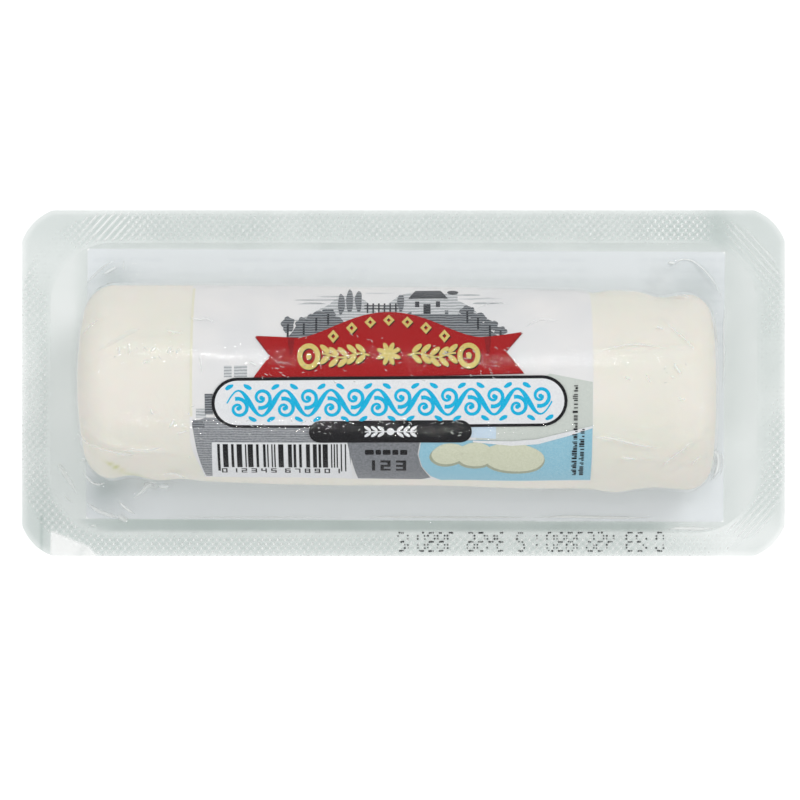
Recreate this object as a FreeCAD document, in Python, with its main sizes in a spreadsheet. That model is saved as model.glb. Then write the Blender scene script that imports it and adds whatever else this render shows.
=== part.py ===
"""Small log of fresh cow milk cheese, vacuum packed in clear film.

The log lies on its slightly flattened underside. A printed label sheet is wrapped over the middle of it.
A flat base film runs under the log and carries a paper label on its underside. A formed film covers the log
closely, comes down round it with a rounded foot and is sealed to the base film all round the rim.

Frame: millimetres, +X along the log, +Z up, origin under the centre of the pack, at the plane it rests on.
"""
import FreeCAD, Part
import math
import os

import Sketcher

PARTS_FOLDER = "parts"

# alias, value in mm or degrees, what it is
SIZES = [
    ("LogLength", 110.0, "length of the cheese log"),
    ("LogRadius", 17.15, "radius of the log halfway along"),
    ("Taper", 0.3, "how much larger the radius is at the right end than at the left"),
    ("EndRound", 4.5, "rounding of the log's two end rims"),
    ("RestDepth", 0.9, "how much the underside is flattened by lying, at the right end"),
    ("EndRim", 12.5, "width of the films beyond each end of the log, were it in the middle"),
    ("SideRim", 13.3, "width of the films beyond each side of the log, were it in the middle"),
    ("LogAlong", -1.2, "how far the log lies from the middle of the pack, lengthways"),
    ("LogAcross", -0.7, "how far the log lies from the middle of the pack, sideways"),
    ("CornerInset", 5.4, "how far before each corner the films' straight edges end"),
    ("CornerRadius", 9.3, "radius of the arc that joins them across the corner"),
    ("BaseFilm", 0.10, "thickness of the flat base film"),
    ("FormedFilm", 0.15, "thickness of the formed film"),
    ("FootRound", 1.5, "hollow rounding where the formed film leaves the rim"),
    ("PaperEndMargin", 11.1, "from the paper label to the ends of the base film"),
    ("PaperSideMargin", 6.7, "from the paper label to the sides of the base film"),
    ("PaperCorner", 0.6, "corner radius of the paper label"),
    ("Paper", 0.12, "thickness of the paper label"),
    ("PrintLength", 68.2, "size of the printed label along the log"),
    ("PrintAlong", -1.1, "middle of the printed label from the middle of the log"),
    ("PrintSheet", 0.10, "thickness of the printed label"),
    ("PrintFrontAngle", 22.0, "printed label's front edge, above the level of the log's axis"),
    ("PrintBackAngle", -20.0, "printed label's back edge, below the level of the log's axis"),
    ("FilmGap", 0.05, "clearance between the printed label and the formed film"),
]


def make_sheet(doc):
    """The spreadsheet of driving sizes. Each value has its own alias."""
    sheet = doc.addObject("Spreadsheet::Sheet", "Sizes")
    for row, (alias, value, note) in enumerate(SIZES, start=1):
        sheet.set(f"A{row}", alias)
        sheet.set(f"B{row}", f"{value}")
        sheet.set(f"C{row}", note)
        sheet.setAlias(f"B{row}", alias)
    doc.recompute()
    return sheet


# Sizes, heights and offsets that several pieces share, as expressions on the sheet.
LEFT_RADIUS = "(Sizes.LogRadius - Sizes.Taper / 2)"
RIGHT_RADIUS = "(Sizes.LogRadius + Sizes.Taper / 2)"
HALF_LENGTH = "(Sizes.LogLength / 2)"
PACK_LENGTH = "(Sizes.LogLength + 2 * Sizes.EndRim)"
PACK_WIDTH = f"(2 * {RIGHT_RADIUS} + 2 * Sizes.SideRim)"
PAPER_LENGTH = f"({PACK_LENGTH} - 2 * Sizes.PaperEndMargin)"
PAPER_WIDTH = f"({PACK_WIDTH} - 2 * Sizes.PaperSideMargin)"
BASE_TOP = "(Sizes.Paper + Sizes.BaseFilm)"
RIM_TOP = f"({BASE_TOP} + Sizes.FormedFilm)"
AXIS_HEIGHT = f"({BASE_TOP} + {RIGHT_RADIUS} - Sizes.RestDepth)"
PRINT_GROW = "Sizes.PrintSheet"
FILM_INSIDE_GROW = "(Sizes.PrintSheet + Sizes.FilmGap)"
FILM_OUTSIDE_GROW = f"({FILM_INSIDE_GROW} + Sizes.FormedFilm)"
TOOL_MARGIN = 10.0  # how far a cutting shape runs past what it cuts


def value_of(doc, expression):
    """The value of an expression on the sheet, in the sheet's own units."""
    found = doc.Sizes.evalExpression(expression.replace("Sizes.", ""))
    return float(getattr(found, "Value", found))


def new_body(doc, label):
    body = doc.addObject("PartDesign::Body", label)
    body.Label = label
    return body


def new_sketch(body, name, height, on_log=False):
    """A sketch parallel to the body's XY plane, at a height given as an expression.

    Its origin is the middle of the pack, or with on_log the middle of the log.
    """
    sketch = body.newObject("Sketcher::SketchObject", name)
    plane = next(f for f in body.Origin.OriginFeatures if f.Role == "XY_Plane")
    sketch.AttachmentSupport = [(plane, "")]
    sketch.MapMode = "FlatFace"
    sketch.setExpression("AttachmentOffset.Base.z", height)
    if on_log:
        sketch.setExpression("AttachmentOffset.Base.x", "Sizes.LogAlong")
        sketch.setExpression("AttachmentOffset.Base.y", "Sizes.LogAcross")
    return sketch


def bind(sketch, constraint, expression):
    """Adds a size constraint whose value follows the expression."""
    index = sketch.addConstraint(constraint)
    sketch.setExpression(f"Constraints[{index}]", expression)


def draw_rounded_rectangle(sketch, doc, length, width, corner):
    """A rectangle centred on the origin with four equal round corners; sizes are expressions."""
    half_l = value_of(doc, length) / 2
    half_w = value_of(doc, width) / 2
    r = value_of(doc, corner)
    up = FreeCAD.Vector(0, 0, 1)
    lines, arcs = [], []
    corners = [(1, 1), (-1, 1), (-1, -1), (1, -1)]
    for quarter, (sx, sy) in enumerate(corners):
        centre = FreeCAD.Vector(sx * (half_l - r), sy * (half_w - r), 0)
        circle = Part.Circle(centre, up, r)
        start = quarter * math.pi / 2
        arcs.append(sketch.addGeometry(Part.ArcOfCircle(circle, start, start + math.pi / 2)))
    ends = [
        ((half_l - r, half_w), (-half_l + r, half_w)),
        ((-half_l, half_w - r), (-half_l, -half_w + r)),
        ((-half_l + r, -half_w), (half_l - r, -half_w)),
        ((half_l, -half_w + r), (half_l, half_w - r)),
    ]
    for start, end in ends:
        line = Part.LineSegment(FreeCAD.Vector(*start, 0), FreeCAD.Vector(*end, 0))
        lines.append(sketch.addGeometry(line))
    for i in range(4):
        sketch.addConstraint(Sketcher.Constraint("Tangent", arcs[i], 2, lines[i], 1))
        sketch.addConstraint(Sketcher.Constraint("Tangent", lines[i], 2, arcs[(i + 1) % 4], 1))
    sketch.addConstraint(Sketcher.Constraint("Horizontal", lines[0]))
    sketch.addConstraint(Sketcher.Constraint("Vertical", lines[1]))
    for other in arcs[1:]:
        sketch.addConstraint(Sketcher.Constraint("Equal", arcs[0], other))
    sketch.addConstraint(Sketcher.Constraint("Symmetric", arcs[0], 3, arcs[2], 3, -1, 1))
    bind(sketch, Sketcher.Constraint("Radius", arcs[0], r), corner)
    bind(sketch, Sketcher.Constraint("DistanceX", -1, 1, lines[3], 2, half_l), f"{length} / 2")
    bind(sketch, Sketcher.Constraint("DistanceY", -1, 1, lines[0], 1, half_w), f"{width} / 2")


def draw_film_outline(sketch, doc, length, width):
    """The films' outline: a centred rectangle whose corners are cut by shallow arcs, at an angle to the sides."""
    half_l = value_of(doc, length) / 2
    half_w = value_of(doc, width) / 2
    inset = value_of(doc, "Sizes.CornerInset")
    radius = value_of(doc, "Sizes.CornerRadius")
    bulge = radius - math.sqrt(radius**2 - inset**2 / 2)
    ends = [
        ((half_l - inset, half_w), (-half_l + inset, half_w)),
        ((-half_l, half_w - inset), (-half_l, -half_w + inset)),
        ((-half_l + inset, -half_w), (half_l - inset, -half_w)),
        ((half_l, -half_w + inset), (half_l, half_w - inset)),
    ]
    lines = [
        sketch.addGeometry(Part.LineSegment(FreeCAD.Vector(*start, 0), FreeCAD.Vector(*end, 0)))
        for start, end in ends
    ]
    arcs = []
    for i, (sx, sy) in enumerate([(-1, 1), (-1, -1), (1, -1), (1, 1)]):
        start = FreeCAD.Vector(*ends[i][1], 0)
        end = FreeCAD.Vector(*ends[(i + 1) % 4][0], 0)
        outwards = FreeCAD.Vector(sx, sy, 0).normalize()
        arcs.append(sketch.addGeometry(Part.Arc(start, (start + end) * 0.5 + outwards * bulge, end)))
    for i in range(4):
        sketch.addConstraint(Sketcher.Constraint("Coincident", lines[i], 2, arcs[i], 1))
        sketch.addConstraint(Sketcher.Constraint("Coincident", arcs[i], 2, lines[(i + 1) % 4], 1))
    upper, left, lower, right = lines
    for across in (upper, lower):
        sketch.addConstraint(Sketcher.Constraint("Symmetric", across, 1, across, 2, -2))
    for upright in (left, right):
        sketch.addConstraint(Sketcher.Constraint("Symmetric", upright, 1, upright, 2, -1))
    straight_l = half_l - inset
    straight_w = half_w - inset
    reach_l = f"{length} / 2 - Sizes.CornerInset"
    reach_w = f"{width} / 2 - Sizes.CornerInset"
    bind(sketch, Sketcher.Constraint("DistanceX", -1, 1, upper, 1, straight_l), reach_l)
    bind(sketch, Sketcher.Constraint("DistanceX", -1, 1, lower, 2, straight_l), reach_l)
    bind(sketch, Sketcher.Constraint("DistanceY", -1, 1, right, 2, straight_w), reach_w)
    bind(sketch, Sketcher.Constraint("DistanceY", -1, 1, left, 1, straight_w), reach_w)
    bind(sketch, Sketcher.Constraint("DistanceY", -1, 1, upper, 1, half_w), f"{width} / 2")
    bind(sketch, Sketcher.Constraint("DistanceY", lower, 2, -1, 1, half_w), f"{width} / 2")
    bind(sketch, Sketcher.Constraint("DistanceX", -1, 1, right, 2, half_l), f"{length} / 2")
    bind(sketch, Sketcher.Constraint("DistanceX", left, 1, -1, 1, half_l), f"{length} / 2")
    for arc in arcs:
        bind(sketch, Sketcher.Constraint("Radius", arc, radius), "Sizes.CornerRadius")


def draw_log_outline(sketch, doc, grow, whole):
    """The log's outline in plan, without its end rounding, grown outwards by an expression.

    whole draws both flanks; otherwise only the +Y half is drawn, closed along the log's axis.
    """
    g = value_of(doc, grow)
    half = value_of(doc, HALF_LENGTH) + g
    left = value_of(doc, LEFT_RADIUS) + g
    right = value_of(doc, RIGHT_RADIUS) + g
    low_left = -left if whole else 0.0
    low_right = -right if whole else 0.0
    corners = [(-half, low_left), (-half, left), (half, right), (half, low_right)]
    points = [FreeCAD.Vector(*corner, 0) for corner in corners]
    sides = [
        sketch.addGeometry(Part.LineSegment(start, end)) for start, end in zip(points, points[1:] + points[:1])
    ]
    for i in range(len(sides)):
        sketch.addConstraint(Sketcher.Constraint("Coincident", sides[i], 2, sides[(i + 1) % len(sides)], 1))
    left_end, _, right_end, closing = sides
    sketch.addConstraint(Sketcher.Constraint("Vertical", left_end))
    sketch.addConstraint(Sketcher.Constraint("Vertical", right_end))
    bind(sketch, Sketcher.Constraint("DistanceX", left_end, 2, -1, 1, half), f"{HALF_LENGTH} + {grow}")
    bind(sketch, Sketcher.Constraint("DistanceX", -1, 1, right_end, 1, half), f"{HALF_LENGTH} + {grow}")
    bind(sketch, Sketcher.Constraint("DistanceY", -1, 1, left_end, 2, left), f"{LEFT_RADIUS} + {grow}")
    bind(sketch, Sketcher.Constraint("DistanceY", -1, 1, right_end, 1, right), f"{RIGHT_RADIUS} + {grow}")
    if whole:
        low_left_size = Sketcher.Constraint("DistanceY", left_end, 1, -1, 1, left)
        low_right_size = Sketcher.Constraint("DistanceY", right_end, 2, -1, 1, right)
        bind(sketch, low_left_size, f"{LEFT_RADIUS} + {grow}")
        bind(sketch, low_right_size, f"{RIGHT_RADIUS} + {grow}")
    else:
        sketch.addConstraint(Sketcher.Constraint("PointOnObject", closing, 1, -1))
        sketch.addConstraint(Sketcher.Constraint("PointOnObject", closing, 2, -1))


def add_pad(body, sketch, name, length, downwards=False):
    pad = body.newObject("PartDesign::Pad", name)
    pad.Profile = sketch
    pad.setExpression("Length", length)
    pad.Reversed = downwards
    return pad


def add_turn(body, sketch, name, angle):
    """Revolves a half outline about the log's axis; positive angles rise from the +Y side."""
    turn = body.newObject("PartDesign::Revolution", name)
    turn.Profile = sketch
    turn.ReferenceAxis = (sketch, ["H_Axis"])
    turn.Angle = angle
    return turn


def add_fillet(doc, body, name, base, wanted, radius):
    """Rounds the edges of base that wanted(edge) picks."""
    doc.recompute()
    names = [f"Edge{i}" for i, edge in enumerate(base.Shape.Edges, start=1) if wanted(edge)]
    fillet = body.newObject("PartDesign::Fillet", name)
    fillet.Base = (base, names)
    fillet.setExpression("Radius", radius)
    doc.recompute()
    return fillet


def on_end_rim(doc, grow, above):
    """Picks the edges round the log's two end faces that lie above a height, not the ones under them."""
    end = value_of(doc, f"{HALF_LENGTH} + {grow}")
    middle = value_of(doc, "Sizes.LogAlong")
    tolerance = 1e-3

    def wanted(edge):
        box = edge.BoundBox
        at_end = box.XLength < tolerance and abs(abs(box.XMin - middle) - end) < tolerance
        return at_end and box.ZMax > above + tolerance

    return wanted


def on_foot(doc, height):
    """Picks the edges where the pocket's wall meets the rim, inside the rim's own outline."""
    tolerance = 1e-3
    centre = FreeCAD.Vector(value_of(doc, "Sizes.LogAlong"), value_of(doc, "Sizes.LogAcross"), height)
    reach_x = value_of(doc, f"{HALF_LENGTH} + {FILM_OUTSIDE_GROW}") + tolerance
    reach_y = value_of(doc, f"{RIGHT_RADIUS} + {FILM_OUTSIDE_GROW}") + tolerance

    def wanted(edge):
        box = edge.BoundBox
        level = abs(box.ZMin - height) < tolerance and box.ZLength < tolerance
        away = edge.valueAt((edge.FirstParameter + edge.LastParameter) / 2) - centre
        return level and abs(away.x) < reach_x and abs(away.y) < reach_y

    return wanted


def log_body(doc, label, grow):
    """The log's own shape, grown outwards: a round bar with a faint taper and rounded end rims."""
    body = new_body(doc, label)
    outline = new_sketch(body, f"{label}_outline", AXIS_HEIGHT, on_log=True)
    draw_log_outline(outline, doc, grow, whole=False)
    turned = add_turn(body, outline, f"{label}_turned", 360)
    everywhere = on_end_rim(doc, grow, above=-TOOL_MARGIN)
    add_fillet(doc, body, f"{label}_rims", turned, everywhere, f"Sizes.EndRound + {grow}")
    return body


def flatten_underside(doc, body):
    """Cuts the log level with the top of the base film that it lies on."""
    sketch = new_sketch(body, f"{body.Label}_rest", BASE_TOP, on_log=True)
    draw_rounded_rectangle(
        sketch,
        doc,
        f"(Sizes.LogLength + {2 * TOOL_MARGIN})",
        f"(2 * {RIGHT_RADIUS} + {2 * TOOL_MARGIN})",
        "Sizes.EndRound",
    )
    cut = body.newObject("PartDesign::Pocket", f"{body.Label}_flat")
    cut.Profile = sketch
    cut.Type = "ThroughAll"
    before = body.Shape.Volume
    doc.recompute()
    if not body.Shape.Volume < before:
        raise RuntimeError("the log's underside was not flattened")


def pocket_form(doc, label, grow, plate, foot):
    """A plate with the log's pocket standing on it. plate is (length, width, bottom, top)."""
    length, width, bottom, top = plate
    body = new_body(doc, label)
    rim = new_sketch(body, f"{label}_rim", bottom)
    draw_film_outline(rim, doc, length, width)
    add_pad(body, rim, f"{label}_plate", f"{top} - {bottom}")
    plan = new_sketch(body, f"{label}_plan", AXIS_HEIGHT, on_log=True)
    draw_log_outline(plan, doc, grow, whole=True)
    add_pad(body, plan, f"{label}_wall", f"{AXIS_HEIGHT} - {bottom}", downwards=True)
    half = new_sketch(body, f"{label}_half", AXIS_HEIGHT, on_log=True)
    draw_log_outline(half, doc, grow, whole=False)
    arch = add_turn(body, half, f"{label}_arch", 180)
    level = value_of(doc, top)
    over_rim = on_end_rim(doc, grow, above=level)
    ends = add_fillet(doc, body, f"{label}_ends", arch, over_rim, f"Sizes.EndRound + {grow}")
    add_fillet(doc, body, f"{label}_foot", ends, on_foot(doc, level), foot)
    return body


def cut_out(doc, label, base, tool):
    cut = doc.addObject("Part::Cut", label)
    cut.Label = label
    cut.Base = base
    cut.Tool = tool
    return cut


def make_paper_label(doc):
    """The paper label stuck under the base film; the pack rests on it."""
    body = new_body(doc, "paper_label")
    outline = new_sketch(body, "paper_outline", "0")
    draw_rounded_rectangle(outline, doc, PAPER_LENGTH, PAPER_WIDTH, "Sizes.PaperCorner")
    add_pad(body, outline, "paper_sheet", "Sizes.Paper")
    return body


def make_base_film(doc):
    """The flat film under the log."""
    body = new_body(doc, "base_film")
    outline = new_sketch(body, "base_outline", "Sizes.Paper")
    draw_film_outline(outline, doc, PACK_LENGTH, PACK_WIDTH)
    add_pad(body, outline, "base_sheet", "Sizes.BaseFilm")
    return body


def make_cheese_log(doc):
    body = log_body(doc, "cheese_log", "0")
    flatten_underside(doc, body)
    return body


def make_printed_label(doc, cheese):
    """The printed sheet: a part of a turn of the log's surface, one sheet thick."""
    skin = log_body(doc, "print_skin", PRINT_GROW)
    turn = doc.addObject("Part::Cylinder", "print_turn")
    turn.setExpression("Radius", f"{RIGHT_RADIUS} + {TOOL_MARGIN}")
    turn.setExpression("Height", "Sizes.PrintLength")
    turn.setExpression("Angle", "180 - Sizes.PrintFrontAngle - Sizes.PrintBackAngle")
    # The cylinder's own Z is laid along +X. Its sector starts at the back edge and rises to the front edge.
    start = value_of(doc, "Sizes.PrintBackAngle")
    own_x, own_y, own_z = FreeCAD.Vector(0, 1, 0), FreeCAD.Vector(0, 0, 1), FreeCAD.Vector(1, 0, 0)
    along_x = FreeCAD.Rotation(own_x, own_y, own_z, "ZXY")
    turn.Placement.Rotation = FreeCAD.Rotation(FreeCAD.Vector(1, 0, 0), start) * along_x
    turn.setExpression("Placement.Base.x", "Sizes.LogAlong + Sizes.PrintAlong - Sizes.PrintLength / 2")
    turn.setExpression("Placement.Base.y", "Sizes.LogAcross")
    turn.setExpression("Placement.Base.z", AXIS_HEIGHT)
    strip = doc.addObject("Part::Common", "print_strip")
    strip.Base = skin
    strip.Tool = turn
    return cut_out(doc, "printed_label", strip, cheese)


def make_formed_film(doc):
    """The film over the log: an outer form less an inner form one film thickness inside it."""
    outer_plate = (PACK_LENGTH, PACK_WIDTH, BASE_TOP, RIM_TOP)
    inner_plate = (
        f"({PACK_LENGTH} + {2 * TOOL_MARGIN})",
        f"({PACK_WIDTH} + {2 * TOOL_MARGIN})",
        f"(-{TOOL_MARGIN})",
        BASE_TOP,
    )
    inner_foot = "Sizes.FootRound + Sizes.FormedFilm"
    outer = pocket_form(doc, "film_outside", FILM_OUTSIDE_GROW, outer_plate, "Sizes.FootRound")
    inner = pocket_form(doc, "film_inside", FILM_INSIDE_GROW, inner_plate, inner_foot)
    return cut_out(doc, "formed_film", outer, inner)


def check_document(doc):
    """Stops if any object failed to build."""
    for item in doc.Objects:
        bad = [word for word in item.State if word in ("Invalid", "Error")]
        if bad:
            raise RuntimeError(f"{item.Label} is {bad}")


def write_parts(pieces):
    os.makedirs(PARTS_FOLDER, exist_ok=True)
    for piece in pieces:
        shape = piece.Shape
        if shape.isNull() or not shape.isValid() or len(shape.Solids) != 1:
            raise RuntimeError(f"{piece.Label} is not one valid solid")
        shape.exportStep(os.path.join(PARTS_FOLDER, f"{piece.Label}.step"))
        box = shape.optimalBoundingBox(False)
        size = f"{box.XLength:.2f} x {box.YLength:.2f} x {box.ZLength:.2f} mm"
        print(f"{piece.Label}: {size}, {shape.Volume / 1000:.3f} cm3, z {box.ZMin:.3f} to {box.ZMax:.3f}")


def main():
    doc = FreeCAD.newDocument("cheese_log_pack")
    make_sheet(doc)
    cheese = make_cheese_log(doc)
    pieces = [
        make_paper_label(doc),
        make_base_film(doc),
        cheese,
        make_printed_label(doc, cheese),
        make_formed_film(doc),
    ]
    doc.recompute()
    check_document(doc)
    write_parts(pieces)


main()
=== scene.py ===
# A cow milk cheese log in its clear vacuum pack: soft white cheese, a printed wrap label round it, a formed
# film drawn over it, a base film under it, the two welded in a knurled band, and a paper label beneath.
# Sizes are in millimetres until a mesh is written, which is in metres.

import math
import random
from collections import Counter

import bpy
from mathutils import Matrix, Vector, noise


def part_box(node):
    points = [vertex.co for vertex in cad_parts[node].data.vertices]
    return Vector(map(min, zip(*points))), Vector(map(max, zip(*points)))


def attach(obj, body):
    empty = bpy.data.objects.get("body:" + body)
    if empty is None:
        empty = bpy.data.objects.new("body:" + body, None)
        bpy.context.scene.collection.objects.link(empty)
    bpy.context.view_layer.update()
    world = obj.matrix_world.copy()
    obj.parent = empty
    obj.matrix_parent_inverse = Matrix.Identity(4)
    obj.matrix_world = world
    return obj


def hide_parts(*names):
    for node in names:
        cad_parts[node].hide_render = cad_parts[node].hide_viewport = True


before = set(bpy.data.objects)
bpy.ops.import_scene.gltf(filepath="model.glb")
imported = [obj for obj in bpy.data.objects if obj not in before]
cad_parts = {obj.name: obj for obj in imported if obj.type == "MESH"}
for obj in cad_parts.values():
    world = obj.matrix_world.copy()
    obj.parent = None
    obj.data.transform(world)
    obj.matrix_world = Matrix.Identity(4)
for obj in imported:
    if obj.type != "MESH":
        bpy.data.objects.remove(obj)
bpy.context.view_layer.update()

MM = 0.001


# ---------------------------------------------------------------- sizes, from the frame

def corners(node):
    """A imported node's lowest and highest corner, in millimetres."""
    low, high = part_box(node)
    return low / MM, high / MM


LOG_LOW, LOG_HIGH = corners("cheese_log")
WRAP_LOW, WRAP_HIGH = corners("printed_label")
BASE_LOW, BASE_HIGH = corners("base_film")
FILM_LOW = corners("formed_film")[0]
PAPER_LOW, PAPER_HIGH = corners("paper_label")

LOG_RADIUS = (LOG_HIGH.y - LOG_LOW.y) / 2
LOG_HALF = (LOG_HIGH.x - LOG_LOW.x) / 2
LOG_MIDDLE = Vector(((LOG_LOW.x + LOG_HIGH.x) / 2, (LOG_LOW.y + LOG_HIGH.y) / 2, LOG_HIGH.z - LOG_RADIUS))
LOG_RIM = 4.0            # how far the ends of the log are rounded
FILM_THICK = 0.15        # the formed film
FLAT_TOP = FILM_LOW.z + FILM_THICK       # the top of the formed film where it lies flat
THIN = 0.02              # how thick inks, creases and ink-jet dots are

# How far each layer lies out from the cheese
WRAP_LIFT = 0.11         # outside of the printed wrap label
INK_LIFT = 0.025         # each ink lies this far over the one before
FILM_LIFT = 0.56         # outside of the formed film

# The welded band: inside it the two films are free, outside it they end
BAND_MIDDLE = Vector((0.1, -0.85))
BAND_HALF = Vector((62.6, 25.65))
BAND_CORNER = 11.0
LAYER_GAP = 0.015        # clear space that keeps two layers' faces from lying in one plane
PAPER_HALF = Vector(((PAPER_HIGH.x - PAPER_LOW.x) / 2, (PAPER_HIGH.y - PAPER_LOW.y) / 2))
PAPER_SHIFT = Vector((0.35, -0.4))       # the paper label's middle
CUT_INSET = 5.4          # how far the pack's cut corners reach along each side
CUT_RADIUS = 9.3


# ---------------------------------------------------------------- small tools

def smooth(start, end, value):
    """0 before start, 1 after end, and a soft step between."""
    share = min(max((value - start) / (end - start), 0.0), 1.0)
    return share * share * (3.0 - 2.0 * share)


def soft_max(a, b, blend):
    """The larger of two heights, rounded where they meet."""
    share = min(max(0.5 + 0.5 * (a - b) / blend, 0.0), 1.0)
    return b + (a - b) * share + blend * share * (1.0 - share) * 0.5


def begin(name, add_primitive, **settings):
    """Adds a primitive with nothing else selected and names it."""
    bpy.ops.object.select_all(action="DESELECT")
    add_primitive(**settings)
    piece = bpy.context.active_object
    piece.name = name
    piece.data.name = name
    return piece


def begin_grid(name, along, across, size=2.0):
    """Begins a flat grid of cells about the origin, its sides size metres long."""
    return begin(name, bpy.ops.mesh.primitive_grid_add, x_subdivisions=along, y_subdivisions=across,
                 size=size)


def grid_share(place):
    """How far over a grid of two metres a place lies, from 0 to 1."""
    return (place * MM + 1) / 2


def choose(piece):
    """Makes one piece the selected and active one."""
    bpy.ops.object.select_all(action="DESELECT")
    piece.select_set(True)
    bpy.context.view_layer.objects.active = piece


def move_points(piece, place):
    """Moves every point of a piece to where place(x, y, z) puts it, in millimetres."""
    for point in piece.data.vertices:
        point.co = Vector(place(*(point.co / MM))) * MM
    piece.data.update()


def clear_choice(piece, kind):
    """Deselects all of a piece, and sets whether its edit mode selects faces or edges."""
    choose(piece)
    bpy.ops.object.mode_set(mode="EDIT")
    bpy.ops.mesh.select_all(action="DESELECT")
    bpy.ops.mesh.select_mode(type=kind)
    bpy.ops.object.mode_set(mode="OBJECT")


def select_faces(piece, wanted):
    """Selects the faces whose middle and normal pass a test, and leaves the piece in edit mode."""
    clear_choice(piece, "FACE")
    for face in piece.data.polygons:
        face.select = wanted(face.center / MM, face.normal)
    bpy.ops.object.mode_set(mode="EDIT")


def select_edges(piece, wanted):
    """Selects the edges whose two ends pass a test, and leaves the piece in edit mode."""
    clear_choice(piece, "EDGE")
    points = piece.data.vertices
    for edge in piece.data.edges:
        edge.select = wanted(points[edge.vertices[0]].co / MM, points[edge.vertices[1]].co / MM)
    bpy.ops.object.mode_set(mode="EDIT")


def select_all_of(piece):
    """Opens a piece in edit mode with all of it selected."""
    choose(piece)
    bpy.ops.object.mode_set(mode="EDIT")
    bpy.ops.mesh.select_all(action="SELECT")


def close_edit():
    bpy.ops.object.mode_set(mode="OBJECT")


def thicken(piece, thick):
    """Gives a sheet its thickness in millimetres, inwards from its face."""
    choose(piece)
    wall = piece.modifiers.new("SOLIDIFY", "SOLIDIFY")
    wall.thickness = thick * MM
    wall.offset = -1.0
    bpy.ops.object.modifier_apply(modifier=wall.name)


def delete_faces(piece, wanted):
    """Deletes the faces whose middle and normal pass a test."""
    select_faces(piece, wanted)
    bpy.ops.mesh.delete(type="FACE")
    close_edit()


def mark_points(piece, name, amount):
    """Keeps amount(x, y, z), worked out at each point in millimetres, for a material to read."""
    marks = piece.data.attributes.new(name, "FLOAT", "POINT")
    for point, mark in zip(piece.data.vertices, marks.data):
        mark.value = amount(*(point.co / MM))


def snap_rim(piece, outline, near):
    """Moves the points of a sheet's open rim that lie near an outline onto it. The outline is a function that
    tells how far (x, y) lies outside, in millimetres."""
    uses = Counter(edge for face in piece.data.polygons for edge in face.edge_keys)
    rim = {point for edge, count in uses.items() if count == 1 for point in edge}
    for index in rim:
        point = piece.data.vertices[index]
        for _ in range(3):
            x, y = point.co.x / MM, point.co.y / MM
            past = outline(x, y)
            if abs(past) < near:
                slope = Vector((outline(x + 0.01, y) - past, outline(x, y + 0.01) - past)) / 0.01
                point.co.x -= past * slope.x * MM
                point.co.y -= past * slope.y * MM
    piece.data.update()


def join(name, parts):
    """Joins several pieces into the first and names it."""
    choose(parts[0])
    if len(parts) > 1:
        for part in parts:
            part.select_set(True)
        bpy.ops.object.join()
    parts[0].name = name
    parts[0].data.name = name
    return parts[0]


def finish(piece, slot, *materials, smooth_angle=50):
    """Gives a piece its materials and shading, and lets it ride with the pack."""
    choose(piece)
    piece.data.materials.clear()
    for material in materials:
        piece.data.materials.append(material)
    bpy.ops.object.shade_smooth_by_angle(angle=math.radians(smooth_angle))
    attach(piece, "root")
    return piece


# ---------------------------------------------------------------- materials

def hue(code):
    """A written colour such as #E6E1D5 as the linear colour that a shader takes."""
    parts = [int(code[place:place + 2], 16) / 255 for place in (1, 3, 5)]
    return [part / 12.92 if part <= 0.04045 else ((part + 0.055) / 1.055) ** 2.4 for part in parts] + [1.0]


def node(tree, kind, values=(), links=(), **settings):
    """Adds one node with its settings, the values of its inputs and the sockets that feed them."""
    made = tree.nodes.new("ShaderNode" + kind)
    for name, value in settings.items():
        setattr(made, name, value)
    for socket, value in dict(values).items():
        made.inputs[socket].default_value = value
    for socket, source in dict(links).items():
        tree.links.new(source, made.inputs[socket])
    return made


WAVE_SCALE = 2 * math.pi / 20    # over the gap between two lines, this is a wave pattern's scale


def new_material(name):
    """An empty material and its node tree."""
    material = bpy.data.materials.new(name)
    material.use_nodes = True
    material.node_tree.nodes.clear()
    return material, material.node_tree


def set_stops(ramp, *stops):
    """Gives a colour ramp its stops, each a place and a written colour."""
    for stop, (place, colour) in zip(ramp.color_ramp.elements, stops):
        stop.position = place
        stop.color = hue(colour)


def output(tree, surface):
    node(tree, "OutputMaterial", links={"Surface": surface})


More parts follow.
